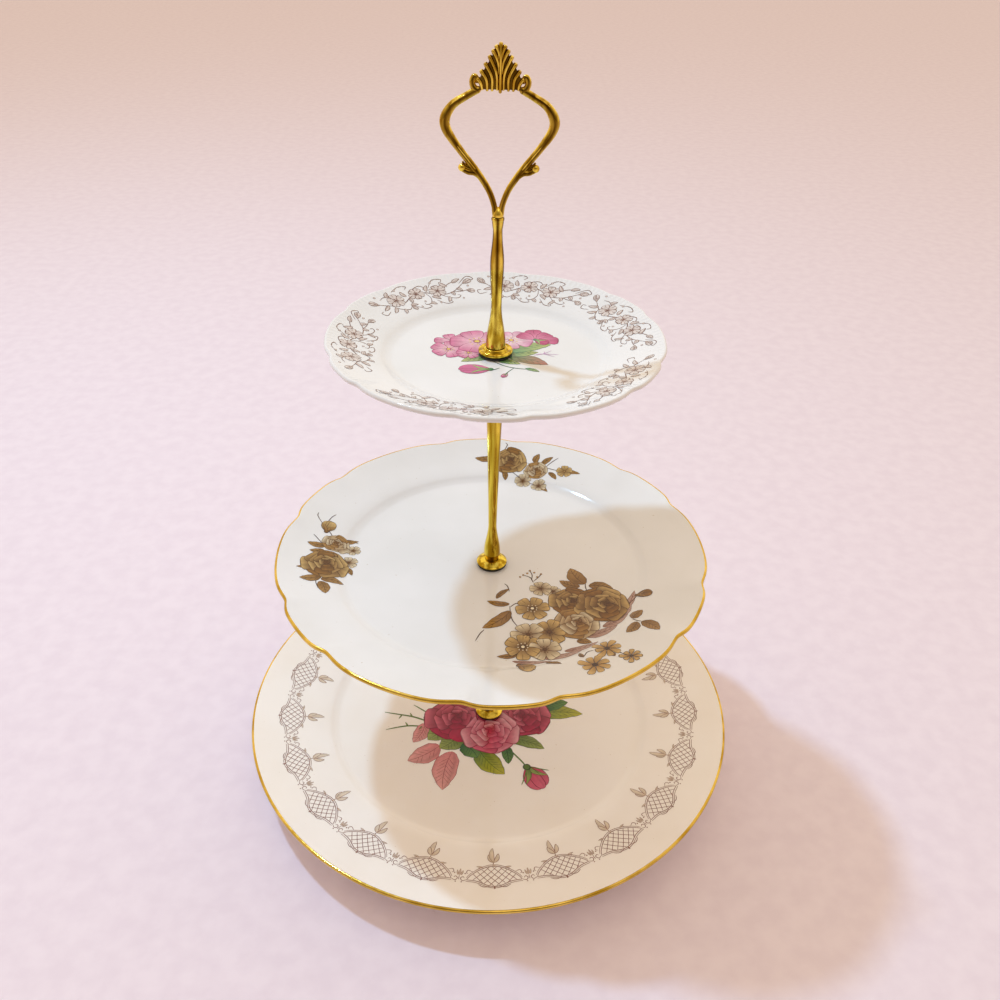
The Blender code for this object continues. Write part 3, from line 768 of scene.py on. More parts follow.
def vine_spray(art):
    """One spray of the top plate's rim: a curling vine with flowers, leaves and berries."""
    stem = [(-23, 3.5), (-18, 0), (-11, -1.5), (-4, 1.5), (3, 1.5), (10, -2), (17, -1), (23, 4)]
    art.stroke(stem, 0.44, VINE)
    art.twigs(
        0.34, VINE,
        [(-18, 0), (-16, -4), (-12, -6.5), (-9, -5)],
        [(-4, 1.5), (-2, 5), (2, 6.5), (4, 5), (3, 3.8)],
        [(3, 1.5), (4, -3), (2, -6.5), (-1, -6.5), (-1, -5)],
        [(10, -2), (14, -5), (18, -6), (20, -4.5), (18.5, -3.5)],
        [(12, -1.8), (14, 3), (18, 5.5), (20, 5)],
        [(-11, -1.5), (-13, 3), (-17, 6), (-20, 5.5)],
        [(17, -1), (20, -1.5), (24, -1)],
        [(-22, -3), (-26, -4), (-27, -1.5), (-25, -1)],
        [(-12, 7), (-7, 9), (-3.5, 8), (-5, 6.5)],
        [(-7, -6), (-3, -9), (1, -8.6), (0, -7)],
        [(6, 4), (9.5, 8.5), (13.5, 8.2), (13, 6.4)],
        [(6, -5), (10, -8.6), (14, -8.6), (13.4, -7)],
        [(21, 4), (25, 8), (28, 6.6), (26.4, 5)],
    )
    for middle, radius, turn in (((-13.5, 1.5), 4.3, 0.2), ((-1.5, 2.0), 3.9, 0.9),
                                 ((9.5, 1.0), 4.1, 0.5)):
        art.blossom(middle, radius, VINE_TINT, VINE, turn, 5, 2, 0.30)
    leaves = [
        ((-19, 1), (-24, -1)), ((-17, -2), (-21, -5)), ((-14, -5), (-16, -8)), ((-9, -4), (-5, -5)),
        ((-6, 0.5), (-7, -3)), ((-7, 2), (-8, 6)), ((-16, 5), (-14, 8)), ((4, 2), (6, 6)),
        ((5, -2), (9, -5)), ((2, -6), (5, -8)), ((14, -4), (12, -8)), ((15, 3), (12, 6.5)),
        ((16, -1), (17, -4)), ((19, 1), (22, -1)), ((18, 5), (22, 7)),
    ]
    for root, tip in leaves:
        art.blade(root, tip, 2.1, VINE_TINT, 1.5, (0.6, 0.8), 0.08, 0, 0.26, rows=8)
        middle = (np.array(root) + tip) / 2
        art.stroke([root, middle + 0.1, tip], 0.2, VINE, 2, 3)
    for root, tip in (((23, 4), (27, 6)), ((24, -1), (28, -2)), ((-23, 3.5), (-26, 7)),
                      ((-9, -5), (-7.5, -8))):
        art.bud(root, tip, 2.2, VINE_TINT, VINE_TINT, 2, 0.26)
    for spot in ((-21, 8), (-10, 7.5), (0, -4.2), (7.5, -7.5), (21, -6.5), (8, 7), (25, 2),
                 (-4, -7)):
        art.dot(spot, 0.55, VINE_TINT[1], 2, VINE)


def top_print():
    """The top plate's print: one painted spray and six vines round the rim."""
    art = wild_rose_spray()
    for azimuth in VINE_TURNS:
        art.along_rim(VINE_RADIUS, radians(azimuth))
        vine_spray(art)
    art.build("top_plate", "top_tier")


def daisy(art, middle, radius, turn, layer=3):
    """A small ragged sepia daisy."""
    middle = np.array(middle, float)
    for k in range(8):
        way = heading(turn + 2 * pi * k / 8)
        tip = middle + way * radius * (1 + 0.15 * sin(2.7 * k))
        art.blade(middle + way * 0.6, tip, radius * 0.50, SEPIA[:1] + SEPIA[2:], layer,
                  (0.9, 0.3), 0.05, 0.05, 0.2, rows=8)
    art.dot(middle, radius * 0.2, SEPIA[0], layer + 1)


def big_sepia_spray(art):
    """Right front of the middle plate: roses, open flowers, leaves and daisies in sepia."""
    art.twigs(
        0.5, SEPIA[0],
        [(21, -15), (19.5, -11), (16, -9)], [(20, -13), (20.5, -9), (19.4, -5.5)],
        [(21, -14), (24, -10), (25, -8)], [(49, -25), (47, -19), (47, -14)],
        [(13, -48), (10, -42), (9, -33)], [(9, -34), (12, -31), (15, -31)],
        [(-3, -50), (-5, -53), (-7, -58)], [(67, -44), (69, -46), (71, -47)],
        [(47, -66), (44, -67), (42, -71)], [(56, -68), (59, -70), (62, -73)],
        [(64, -34), (69, -28), (72, -24)], [(46, -80), (45, -83), (43, -85)],
        [(9, -22), (8, -18), (6.5, -16)],
    )
    for spot in ((16, -9), (18, -7.6), (19.4, -5.5), (21.6, -7), (25, -8), (23, -10.4),
                 (14.4, -10.6)):
        art.dot(spot, 0.6, SEPIA_PALE[2], 2, SEPIA[0])
    art.leaves(
        SEPIA_LEAF, 1.4, 0.08, 4,
        ((46.5, -15.5), (40, -3), 9.0), ((44, -17.5), (34, -13), 5.6),
        ((48.5, -16.5), (60.5, -18.5), 6.4), ((2.5, -27.5), (9, -20), 3.0),
        ((9, -31.5), (-2, -29.4), 4.0), ((9.5, -36.5), (-4, -49), 7.0),
        ((67, -43.5), (72.5, -38), 5.6), ((69, -47), (63, -54.5), 5.6),
        ((71, -47), (78, -55.5), 6.6),
        ((13, -66), (3, -68), 3.4), ((25, -73), (32, -75), 2.8), ((40, -57), (47, -58), 4.2),
        ((42, -71), (40.5, -67), 2.4), ((54, -69), (56, -72), 2.6), ((30, -23), (28.5, -27), 2.6),
    )
    art.leaves(
        SEPIA_ROSY, 1.0, -0.06, 4,
        ((63, -36), (71, -20), 3.6), ((61, -40), (68, -30), 4.4), ((53, -47), (66, -37), 4.6),
        ((44, -54), (60, -46), 4.6), ((34, -64), (50, -58), 3.6), ((24, -69), (42, -64), 3.8),
        ((10, -71), (28, -71), 2.6),
    )
    art.blossom((24.5, -19.5), 5.4, SEPIA_PALE, SEPIA[1], 0.6, 5, 2.2)
    art.blossom((30.5, -21.5), 4.2, SEPIA_PALE, SEPIA[1], 0.1, 5, 2.0)
    art.rose((39, -29), 10.5, SEPIA, 0.4, 2.6, (0.10, 0.10), 0.24)
    art.rose((40, -45), 11.0, SEPIA_PALE, 0.9, 4.4, (0.15, 0.12), 0.24)
    art.rose((53.5, -31), 13.0, SEPIA, 1.1, 6.0, (0.18, 0.10), 0.26)
    art.blossom((20, -34.5), 8.4, SEPIA, SEPIA_PALE[3], 0.2, 6, 5.2, 0.26)
    art.blossom((27.5, -51), 8.4, SEPIA, SEPIA[1], 1.2, 6, 5.0, 0.26)
    art.blossom((17.5, -53), 8.0, SEPIA_PALE, SEPIA[1], 0.8, 5, 5.6, 0.26)
    art.blossom((25, -63), 7.6, SEPIA_PALE, SEPIA[1], 0.4, 5, 6.0, 0.26)
    art.blossom((15, -61.5), 8.6, SEPIA, SEPIA_PALE[3], 0.5, 6, 6.4, 0.26)
    daisy(art, (53, -65.5), 6.6, 0.2)
    daisy(art, (63, -73), 5.0, 0.6)
    daisy(art, (46.5, -77.5), 7.0, 0.4)
    art.bud((71.5, -24), (79, -25), 5.0, (SEPIA[0], SEPIA[1], SEPIA[2]), SEPIA_LEAF)
    art.bud((13, -74), (20, -79), 6.5, (SEPIA[0], SEPIA[1], SEPIA[3]), SEPIA_LEAF)


def left_sepia_spray(art):
    """Left of the middle plate: a rose, a lesser rose and a bud, stacked along the rim."""
    art.twigs(
        0.45, SEPIA[0],
        [(-82, 10), (-84, 16), (-87, 20)], [(-86, 6), (-91, 12), (-93, 14)],
        [(-84, -16), (-86, -22), (-84, -28)], [(-78, 14), (-74, 16), (-70, 14)],
        [(-88, 24), (-86, 30), (-84, 33)], [(-90, 24), (-93, 29), (-93, 32)],
    )
    art.leaves(
        SEPIA_LEAF, 1.4, 0.07, 3,
        ((-85, 7), (-95, 7), 4.5), ((-86, 3), (-93, 1), 3.6), ((-84, -18), (-94, -22), 5.2),
        ((-84, -20), (-73, -20), 5.0), ((-84, -22), (-80, -31), 6.0), ((-78, 12), (-70, 16), 3.2),
        ((-86, -8), (-97, -14), 3.4), ((-74, -6), (-70, -12), 3.0),
    )
    art.blossom((-73, -2), 4.6, SEPIA_PALE, SEPIA[1], 0.5, 5, 2, 0.22)
    art.blossom((-72, 8), 3.8, SEPIA_PALE, SEPIA[1], 0.9, 5, 2, 0.22)
    art.rose((-81, 10), 6.8, SEPIA_PALE, 0.2, 3, (0.0, 0.10), 0.24)
    art.rose((-84, -8), 11.0, SEPIA, 0.7, 4, (0.05, 0.15), 0.28)
    art.bud((-87, 18), (-86, 27), 6.5, (SEPIA[0], SEPIA[1], SEPIA[3]), SEPIA_LEAF)


def back_sepia_spray(art):
    """Far side of the middle plate: a rose trailing lesser flowers to the right."""
    art.twigs(
        0.45, SEPIA[0],
        [(20, 88), (30, 84), (44, 78)], [(30, 84), (34, 88), (38, 91)],
        [(10, 82), (18, 75), (28, 70)], [(4, 92), (-2, 94), (-8, 92)],
        [(6, 98), (8, 102), (7, 104)],
    )
    art.leaves(
        SEPIA_LEAF, 1.4, 0.07, 3,
        ((0, 92), (-11, 92), 4.6), ((2, 84), (-2, 80), 3.6), ((24, 88), (27, 95), 4.0),
        ((28, 86), (35, 92), 3.6), ((6, 82), (7, 76), 3.4), ((38, 80), (50, 77), 3.4),
        ((32, 80), (36, 74), 3.2), ((24, 72), (31, 66), 3.4),
    )
    art.blossom((17, 75), 4.6, SEPIA_PALE, SEPIA[1], 0.4, 5, 2.4, 0.22)
    art.blossom((26, 71), 4.2, SEPIA_PALE, SEPIA[1], 0.9, 5, 2.4, 0.22)
    art.blossom((41, 80), 4.6, SEPIA, SEPIA_PALE[2], 0.2, 5, 2.4, 0.22)
    art.rose((24.5, 82), 6.6, SEPIA_PALE, 0.9, 3, (0.05, 0.1), 0.24)
    art.rose((9, 90), 10.0, SEPIA, 0.3, 4, (0.1, 0.12), 0.28)


def middle_print():
    """The middle plate's three sepia sprays."""
    art = Print(MIDDLE)
    big_sepia_spray(art)
    left_sepia_spray(art)
    back_sepia_spray(art)
    art.build("middle_plate", "middle_tier")


def red_rose_spray():
    """Middle of the bottom plate: a red rose, its bud, and green and salmon leaves."""
    art = Print(BOTTOM)
    thorn = OLIVE_LEAF[1]
    art.stroke([(-12, -4), (-30, -9), (-44, -5), (-60, -2)], 1.0, thorn)
    art.stroke([(-14, -8), (-32, -12), (-46, -12), (-58, -15)], 1.0, thorn)
    art.stroke([(-14, 0), (-30, -4), (-44, 4)], 0.9, thorn)
    for x, y, way in ((-36, -8, 3), (-44, -5, 3), (-50, -4, -3), (-38, -12, -3), (-46, -12, 3),
                      (-34, -3, 3)):
        art.blade((x, y), (x - 1.6, y + way), 0.9, OLIVE_LEAF, 1.4, (0.4, 0.9), 0, 0, 0.15, rows=6)
    art.stroke([(10, -26), (15, -32), (19, -37), (21, -41)], 0.9, thorn)
    art.leaf((14, -3), (34, -8), 11, DARK_LEAF, 1.2, 0.08, 5)
    art.leaf((24, -2), (54, -1), 11, LIME_LEAF, 1.0, 0.06, 5)
    art.leaf((30, 2), (46, 8), 9, DARK_LEAF, 1.0, 0.08, 5)
    art.leaf((12, -20), (31, -27), 8.5, OLIVE_LEAF, 1.2, 0.07, 5)
    art.leaf((9, -25), (11, -38), 6.5, DARK_LEAF, 1.2, 0.05, 4)
    art.leaf((-20, -6), (-34, -22), 15, OLIVE_LEAF, 1.6, 0.05, 5)
    art.leaf((-16, -16), (-27, -28), 13, OLIVE_LEAF, 2.0, 0.10, 5)
    art.leaf((-36, -10), (-42, -24), 9.0, SALMON_LEAF, 0.9, 0.08, 5)
    art.leaf((-27, -26), (-44, -37), 12.5, SALMON_LEAF, 1.0, 0.06, 5)
    art.leaf((-20, -30), (-24, -56), 14.0, SALMON_LEAF, 1.3, -0.06, 6)
    art.leaf((-14, -24), (-6, -34), 12.0, DARK_LEAF, 2.3, 0.08, 5)
    art.leaf((-6, -27), (9, -45), 13.0, LIME_LEAF, 2.4, -0.07, 6)
    art.rose((-20, -6), 16, CRIMSON, 0.5, 3.0, (0.1, 0.1), 0.34)
    art.rose((20, -4), 15, CRIMSON, 1.3, 3.2, (-0.1, 0.1), 0.34)
    art.rose((0, 6), 17, CRIMSON, 0.1, 3.6, (0.0, 0.1), 0.34)
    art.blade((-10, -6), (-20, -22), 13, CRIMSON[:3], 6, (0.5, 0.35), 0.08, 0.03, 0.34)
    art.rose((1, -16), 15.5, ROSE, 0.8, 6.6, (0.0, 0.10), 0.34)
    art.bud((21, -40), (30, -54), 11, (CRIMSON[0], CRIMSON[2], ROSE[2]), OLIVE_LEAF, 3, 0.3)
    art.stroke([(21, -40), (20, -46), (18, -52)], 0.6, thorn, 5)
    art.stroke([(22, -40), (28, -41), (33, -42)], 0.6, thorn, 5)
    return art


def cartouche_edge(x, inner):
    """Outer or inner edge of the lattice cartouche at x."""
    share = np.clip(np.abs(x) / CARTOUCHE_HALF, 0, 1)
    if inner:
        return 1.6 - 8.6 * np.cos(pi / 2 * share) ** 0.75
    return 1.9 + 3.3 * (1 - share) ** 1.6 + 0.8 * np.sin(2 * pi * share) * (1 - share)


def lattice(art, pen):
    """Criss-cross lines inside one cartouche."""
    x = np.linspace(-CARTOUCHE_HALF, CARTOUCHE_HALF, 131)
    for slope in (-1.05, 1.05):
        for start in np.arange(-16, 17, 3.5):
            y = slope * (x - start)
            inside = (y > cartouche_edge(x, True) + 0.3) & (y < cartouche_edge(x, False) - 0.3)
            if inside.sum() > 8:
                run = np.stack([x[inside], y[inside]], 1)
                art.stroke(run[[0, len(run) // 2, -1]], pen, LACE, 1, 3, 0.9)


def cartouche(art):
    """One repeat of the bottom plate's lace border."""
    pen = 0.30
    x = np.linspace(-CARTOUCHE_HALF, CARTOUCHE_HALF, 27)
    for grow in (0.0, 0.9):
        for inner in (True, False):
            y = cartouche_edge(x, inner) + (-grow if inner else grow)
            edge = np.stack([x * (1 + grow * 0.03), y], 1)
            art.stroke(edge, pen + 0.10 * (grow == 0), LACE, 1.2, 2, 0.7)
    lattice(art, pen)
    scroll = [(13, 1.7), (15, 2.6), (16.0, 1.2), (15.0, 0.2), (14.2, 1.0)]
    flare = [(10.5, -3.2), (12.8, -4.0), (13.6, -2.6), (12.8, -1.8)]
    leaf = [(2.2, 5.2), (5.0, 5.6), (7.5, 4.2)]
    for way in (-1, 1):
        for path, more in ((scroll, 0.06), (flare, 0.04), (leaf, 0.06)):
            art.stroke([(way * a, b) for a, b in path], pen + more, LACE, 1.2, 5)
        art.blade((way * 5.5, -6.2), (way * 9.0, -6.6), 1.0, LACE_TINT, 1.6, (0.6, 0.8), rows=7,
                  edge=0.2)
        art.dot((way * 7.6, -5.4), 0.32, LACE, 1.4)
    art.stroke([(0, 5.2), (0, 6.0), (0, 6.9)], 0.7, LACE, 1.4, 3)
    art.stroke([(0, -7), (0.3, -8.4), (0, -10.0)], pen + 0.1, LACE, 1.4, 4)
    art.dot((0, -7.6), 0.6, LACE_TINT[2], 1.8, LACE)
    for lean, reach, wide in ((-2.7, -14.8, 2.5), (2.9, -14.2, 2.5), (0.5, -18.4, 3.0)):
        art.blade((0, -9.2), (lean, reach), wide, LACE_TINT, 1.8, (0.7, 0.7),
                  0.10 * np.sign(lean), edge=0.30, rows=8)


def link_sprig(art):
    """The little leaves and dots between two repeats."""
    for a, b, c in ((-1.5, -3.6, -0.7), (0.0, -4.6, 0.0), (1.5, -3.6, 0.7)):
        art.blade((c, -0.6), (a, b), 0.95, LACE_TINT, 1.5, (0.6, 0.7), rows=7, edge=0.24)
    art.stroke([(0, -0.6), (0.1, 0.8), (0, 2.2)], 0.3, LACE, 1.2, 3)
    for way in (-1, 1):
        art.dot((way * 2.6, -1.8), 0.36, LACE, 1.4)
        art.dot((way * 1.4, 3.4), 0.32, LACE, 1.4)


def bottom_print():
    """The bottom plate's print: the red rose and its lace border."""
    art = red_rose_spray()
    for k in range(LACE_REPEATS):
        azimuth = LACE_START + 2 * pi * k / LACE_REPEATS
        art.along_rim(LACE_RADIUS, azimuth)
        cartouche(art)
        art.along_rim(LACE_RADIUS, azimuth + pi / LACE_REPEATS)
        link_sprig(art)
    art.build("bottom_plate", "bottom_tier")


# ---------------------------------------------------------------- rods, washers and threads
def turned_piece(node, outline, surface, body, slot, capped=(), dark=0.0):
    """Build a turned piece; capped lists the outline ends that close on the rod's axis.

    Dark is how strongly the painted reflection streaks show halfway up: dark bands round the piece
    that stand for reflections.
    """
    work = Patchwork()
    points = turned(outline, ROUND_STEPS)
    work.grid(points, painted_reflection_streaks(points, dark), close_rows=not capped, close_columns=True)
    for end in capped:
        ring = points[end]
        ring = ring[::-1] if end == 0 else ring
        work.fan(ring, (0.0, 0.0, float(points[end, 0, 2])))
    fit(work.build(node + "_finish", [surface], flip=True), body, slot, node)


def painted_reflection_streaks(points, dark):
    """Painted reflection: long brown streaks that stand for dark reflections, faint at a piece's
    foot and full from halfway up.
    """
    turn = np.arctan2(points[..., 1], points[..., 0])
    level = points[..., 2] - points[..., 2].min()
    grown = np.clip(level / max(level.max(), MM) / 0.5, 0.35, 1.0)
    # painted reflection: five dark bands round the piece
    dark_reflection_band = (0.5 - 0.5 * np.sin(5 * turn)) ** 1.4
    return browned(1 - dark * grown * dark_reflection_band)


def rod_line(node):
    """Section of a rod: foot bore, bulb, waist, long flare, top bore."""
    _, low, high = extent(node)
    length = high - low
    foot = BORE_RADIUS + 0.7 * MM
    bulb = BORE_RADIUS + 1.3 * MM
    waist, waist_height = 2.06 * MM, 20.5 * MM
    top = BORE_RADIUS + 1.6 * MM
    side = eased([(foot, 0.0), (bulb, 3.6 * MM), (waist, waist_height)], 22)
    share = np.linspace(0, 1, 40)[1:]
    reach = waist + (top - waist) * share**1.25
    flare = np.stack([reach, waist_height + (length - waist_height) * share], 1)
    bore = [(BORE_RADIUS, length), (BORE_RADIUS, length - 8.3 * MM), (0.4 * MM, length - 8.6 * MM)]
    return np.vstack([BORE_MOUTH, side, flare, bore]) + [0.0, low]


def stem_line():
    """Section of the handle's stem: foot, waist, swell, neck and collar."""
    _, low, high = extent("handle_stem")
    length = high - low
    side = [(BORE_RADIUS + 1.55 * MM, 0.0), (2.28 * MM, 19.2 * MM), (2.95 * MM, 37.2 * MM)]
    side += [(1.98 * MM, 51.2 * MM), (2.45 * MM, length - 1.6 * MM)]
    collar = [(2.65, 1.2), (2.68, 0.6), (2.55, 0.1), (2.35, 0), (1.4, 0), (1.4, 3.3), (0.4, 3.3)]
    collar = [(radius * MM, length - drop * MM) for radius, drop in collar]
    return np.vstack([BORE_MOUTH, eased(side, 18), collar]) + [0.0, low]


def thread(node, surface, body):
    """Build a stud or screw shank with its helical thread, closed at both ends."""
    _, low, high = extent(node)
    screw = node == "base_screw"
    start = low + 3.3 * MM if screw else low
    rows = int((high - start) / (THREAD_PITCH / 8))
    level = np.linspace(start, high, rows)[:, None]
    turn = circle(40)
    phase = (level / THREAD_PITCH - turn / (2 * pi)) % 1.0
    crest = np.clip(1.25 - np.abs(phase - 0.5) * 3.4, 0, 1)
    taper = np.clip(np.minimum(high - level, level - low) / (0.9 * MM), 0, 1)
    radius = THREAD_RADIUS - THREAD_DEPTH + THREAD_DEPTH * crest * taper - 0.35 * MM * (1 - taper)
    points = polar(radius, turn, level + 0 * turn)
    work = Patchwork()
    work.grid(points, close_columns=True)
    work.fan(points[-1], (0.0, 0.0, high))
    if screw:
        screw_head(work, low, start)
    else:
        work.fan(points[0][::-1], (0.0, 0.0, low))
    fit(work.build(node + "_thread", [surface]), body, "steel", node)


def screw_head(work, low, top):
    """Add a pan head with a cross recess in its underside."""
    radius, _, _ = extent("base_screw")
    turn = circle(ROUND_STEPS)
    reach = np.linspace(0.05 * MM, radius * 0.93, 40)[:, None]
    dome = 0.55 * MM * (reach / radius) ** 2.2
    x, y = reach * np.cos(turn), reach * np.sin(turn)
    slot = np.minimum(np.abs(x), np.abs(y)) < 0.42 * MM
    deep = 1.5 * MM * slot * np.clip((2.4 * MM - reach) / (0.8 * MM), 0, 1)
    under = np.stack([x, y, low + dome + deep], -1)
    work.grid(under[::-1], close_columns=True)
    side = [(0.93 * radius, low + 0.5 * MM), (radius, low + 1.3 * MM), (radius, top - 0.2 * MM)]
    side += [(radius - 0.2 * MM, top), (THREAD_RADIUS - THREAD_DEPTH, top)]
    work.grid(turned(side, ROUND_STEPS), close_columns=True)


def washer_line(node, kind):
    """Section of a washer, by kind."""
    radius, low, high = extent(node)
    tall = high - low
    if kind == "domed":
        foot = BORE_RADIUS + 1.1 * MM
        line = [(BORE_RADIUS, 0.0), (radius - 0.3 * MM, 0.0), (radius, tall * 0.16)]
        line += [(radius - 0.1 * MM, tall * 0.30), (radius * 0.80, tall * 0.66)]
        line += [(foot + 0.8 * MM, tall * 0.93), (foot, tall), (BORE_RADIUS, tall)]
    elif kind == "stepped":
        foot = BORE_RADIUS + 2.2 * MM
        line = [(BORE_RADIUS, 0.0), (radius - 0.3 * MM, 0.0), (radius, tall * 0.22)]
        line += [(radius - 0.1 * MM, tall * 0.42), (radius - 0.6 * MM, tall * 0.64)]
        line += [(radius - 1.3 * MM, tall * 0.62), (radius - 1.8 * MM, tall * 0.44)]
        line += [(foot + 0.5 * MM, tall * 0.50), (foot + 0.1 * MM, tall * 0.86)]
        line += [(foot - 0.3 * MM, tall), (BORE_RADIUS, tall)]
    else:
        ease = min(0.25 * MM, tall * 0.25)
        line = [(BORE_RADIUS, 0.0), (radius - ease, 0.0), (radius, ease)]
        line += [(radius, tall - ease), (radius - ease, tall), (BORE_RADIUS, tall)]
    return rounded(line, 2) + [0.0, low]


def rod_set():
    """Every turned gold, rubber and steel piece."""
    for rod, body in (("lower_rod", "lower_rod_set"), ("upper_rod", "upper_rod_set")):
        turned_piece(rod, rod_line(rod), GOLD, body, "gold", capped=(0, -1), dark=0.35)
    turned_piece("handle_stem", stem_line(), OLD_GOLD, "handle", "gold", capped=(0, -1), dark=0.90)
    thread("base_screw", ZINC, "screw")
    thread("lower_stud", ZINC, "lower_rod_set")
    thread("upper_stud", ZINC, "upper_rod_set")
    flanges = [
        ("bottom_gold_washer", "domed", "lower_rod_flange"),
        ("middle_gold_washer", "domed", "upper_rod_flange"),
        ("top_gold_washer", "stepped", "handle_flange"),
    ]
    for node, kind, body in flanges:
        turned_piece(node, washer_line(node, kind), GOLD, body, "gold")
    tiers = [
        ("bottom", "bottom_tier", "bottom_tier"),
        ("middle", "lower_rod_set", "middle_tier"),
        ("top", "upper_rod_set", "top_tier"),
    ]
    for tier, below, above in tiers:
        disc, pad, upper = tier + "_under_disc", tier + "_under_pad", tier + "_upper_pad"
        turned_piece(disc, washer_line(disc, "flat"), ZINC, below, "steel")
        turned_piece(pad, washer_line(pad, "flat"), RUBBER, below, "rubber")
        turned_piece(upper, washer_line(upper, "flat"), RUBBER, above, "rubber")


# ---------------------------------------------------------------- handle casting
def limb(work, path, width, depth, sides=20, crested=False):
    """Sweep an oval rod along an (x, z) path; width and depth are half-sizes at each point.

    Painted reflection: the front and back are painted dark and the sides light, with a thin painted
    highlight line; a crested rib is painted dark on its flanks.
    """
    spine = through(path, LIMB_STEPS)
    size = through(np.stack([width, depth], 1), LIMB_STEPS)
    along = directions(spine)
    across = np.stack([along[:, 1], -along[:, 0]], 1)
    turn = circle(sides)
    flat = spine[:, None] + across[:, None] * (size[:, :1] * np.cos(turn))[..., None]
    y = size[:, 1:] * np.sin(turn)
    points = np.stack([flat[..., 0], y, flat[..., 1]], -1)
    ends = []
    for end, way in ((0, -1), (-1, 1)):
        tip = spine[end] + way * along[end] * size[end, 0] * 0.7
        half = (points[end] - [spine[end, 0], 0, spine[end, 1]]) * 0.72
        near = spine[end] + way * along[end] * size[end, 0] * 0.5
        ends.append((half + [near[0], 0, near[1]], (tip[0], 0.0, tip[1])))
    points = np.concatenate([ends[0][0][None], points, ends[1][0][None]])
    # painted reflection and painted highlight, set by which way each part of the section faces
    face_on = np.sin(turn) ** 2
    if crested:
        tone = 0.42 + 0.58 * face_on
    else:
        painted_glint = np.exp(-(((face_on - 0.80) / 0.10) ** 2)) * (np.cos(turn) < 0)
        tone = np.clip(0.12 + 0.88 * (1 - face_on) ** 0.8 + 0.60 * painted_glint, 0, 1)
    work.grid(points, browned(tone)[None], close_columns=True)
    work.fan(points[0][::-1], ends[0][1])
    work.fan(points[-1], ends[1][1])


def ball(work, x, z, radius, squash):
    """Add a small cast knob, squashed front to back."""
    turn = circle(20)
    tilt = np.linspace(-pi / 2, pi / 2, 12)[1:-1, None]
    ring = radius * np.cos(tilt)
    level = z + radius * np.sin(tilt) + 0 * turn
    points = np.stack([x + ring * np.cos(turn), squash * ring * np.sin(turn), level], -1)
    work.grid(points, close_columns=True)
    work.fan(points[0][::-1], (x, 0.0, z - radius))
    work.fan(points[-1], (x, 0.0, z + radius))


def handle_side(work, side, foot, tall):
    """One arm of the loop with its leaf scroll below and its curl above."""

    def spots(path):
        """Return places in the arm's frame as lengths."""
        return [(side * x * LOOP_HALF_WIDTH, foot + z * tall) for x, z in path]

    arm = [(0.055, 0.004), (0.085, 0.075), (0.200, 0.170), (0.430, 0.280), (0.740, 0.405)]
    arm += [(0.965, 0.510), (1.000, 0.580), (0.860, 0.655), (0.620, 0.705), (0.395, 0.745)]
    thick = np.array([1.20, 1.22, 1.28, 1.42, 1.50, 1.90, 2.05, 1.70, 1.48, 1.42]) * MM
    limb(work, spots(arm), thick, thick * 1.05)
    ridge = [(x + 0.012, z + 0.012) for x, z in arm[3:9]]
    limb(work, spots(ridge), np.full(6, 0.55 * MM), np.full(6, 1.62 * MM), 14, crested=True)
    scroll = [(0.240, 0.190), (0.330, 0.236), (0.450, 0.266), (0.570, 0.270), (0.670, 0.284)]
    girth = np.array([1.05, 1.25, 1.30, 1.15, 1.05]) * MM
    limb(work, spots(scroll), girth, girth * 1.05)
    spur = [(0.470, 0.292), (0.560, 0.296), (0.640, 0.312), (0.680, 0.330)]
    slim, deep = np.array([[1.0, 0.9, 0.7, 0.4], [1.1, 1.0, 0.8, 0.5]]) * MM
    limb(work, spots(spur), slim, deep)
    knob = spots([(0.690, 0.296)])[0]
    ball(work, knob[0], knob[1], 1.60 * MM, 0.95)
    curl = [(0.400, 0.738), (0.452, 0.748), (0.492, 0.766), (0.500, 0.792), (0.468, 0.814)]
    curl += [(0.424, 0.806), (0.414, 0.784)]
    size = np.array([1.35, 1.35, 1.25, 1.20, 1.10, 0.95, 0.70]) * MM
    limb(work, spots(curl), size, size * 1.12)


def crown(work, base):
    """The ribbed leaf on top: a midrib with paired ribs that end in stepped lobes."""
    half, tall, thick = CROWN_HALF_WIDTH, CROWN_HEIGHT, 1.15 * MM
    outline = [(0.92, 0.02), (0.94, 0.22), (0.78, 0.38), (0.60, 0.52), (0.43, 0.66), (0.29, 0.79)]
    outline += [(0.16, 0.90), (0.05, 0.97)]
    web = np.array([[(x * share * half, base + z * tall) for x, z in outline] for share in (-1, 1)])
    left, right = web[0], web[1]
    for face in (-1, 1):
        columns = [left + (right - left) * share for share in np.linspace(0, 1, 9)]
        sheet = np.stack(columns, 1)
        y = np.full(sheet.shape[:2], face * thick * 0.55)
        grid = np.stack([sheet[..., 0], y, sheet[..., 1]], -1)
        # painted shade: the web between the ribs is painted near black
        work.grid(grid if face > 0 else grid[:, ::-1], paint=(0.16, 0.13, 0.10))
    ribs = [
        [(0.80, 0.02), (0.86, 0.14), (1.00, 0.24)],
        [(0.58, 0.00), (0.62, 0.22), (0.84, 0.40)],
        [(0.36, 0.00), (0.38, 0.28), (0.66, 0.55)],
        [(0.14, 0.02), (0.18, 0.36), (0.48, 0.70)],
        [(0.05, 0.34), (0.12, 0.60), (0.33, 0.82)],
        [(0.03, 0.60), (0.08, 0.78), (0.19, 0.91)],
    ]
    girth = np.array([0.66, 0.92, 1.0])
    for path in ribs:
        for side in (-1, 1):
            spots = [(side * x * half, base + z * tall) for x, z in path]
            limb(work, spots, girth * 0.92 * MM, girth * 1.75 * MM, 16, crested=True)
    spine = [(0.0, -0.03), (0.0, 0.35), (0.0, 0.75), (0.0, 0.97)]
    spine = [(x * half, base + z * tall) for x, z in spine]
    slim, deep = np.array([[0.75, 0.72, 0.78, 0.85], [2.0, 2.1, 2.0, 1.5]]) * MM
    limb(work, spine, slim, deep, crested=True)


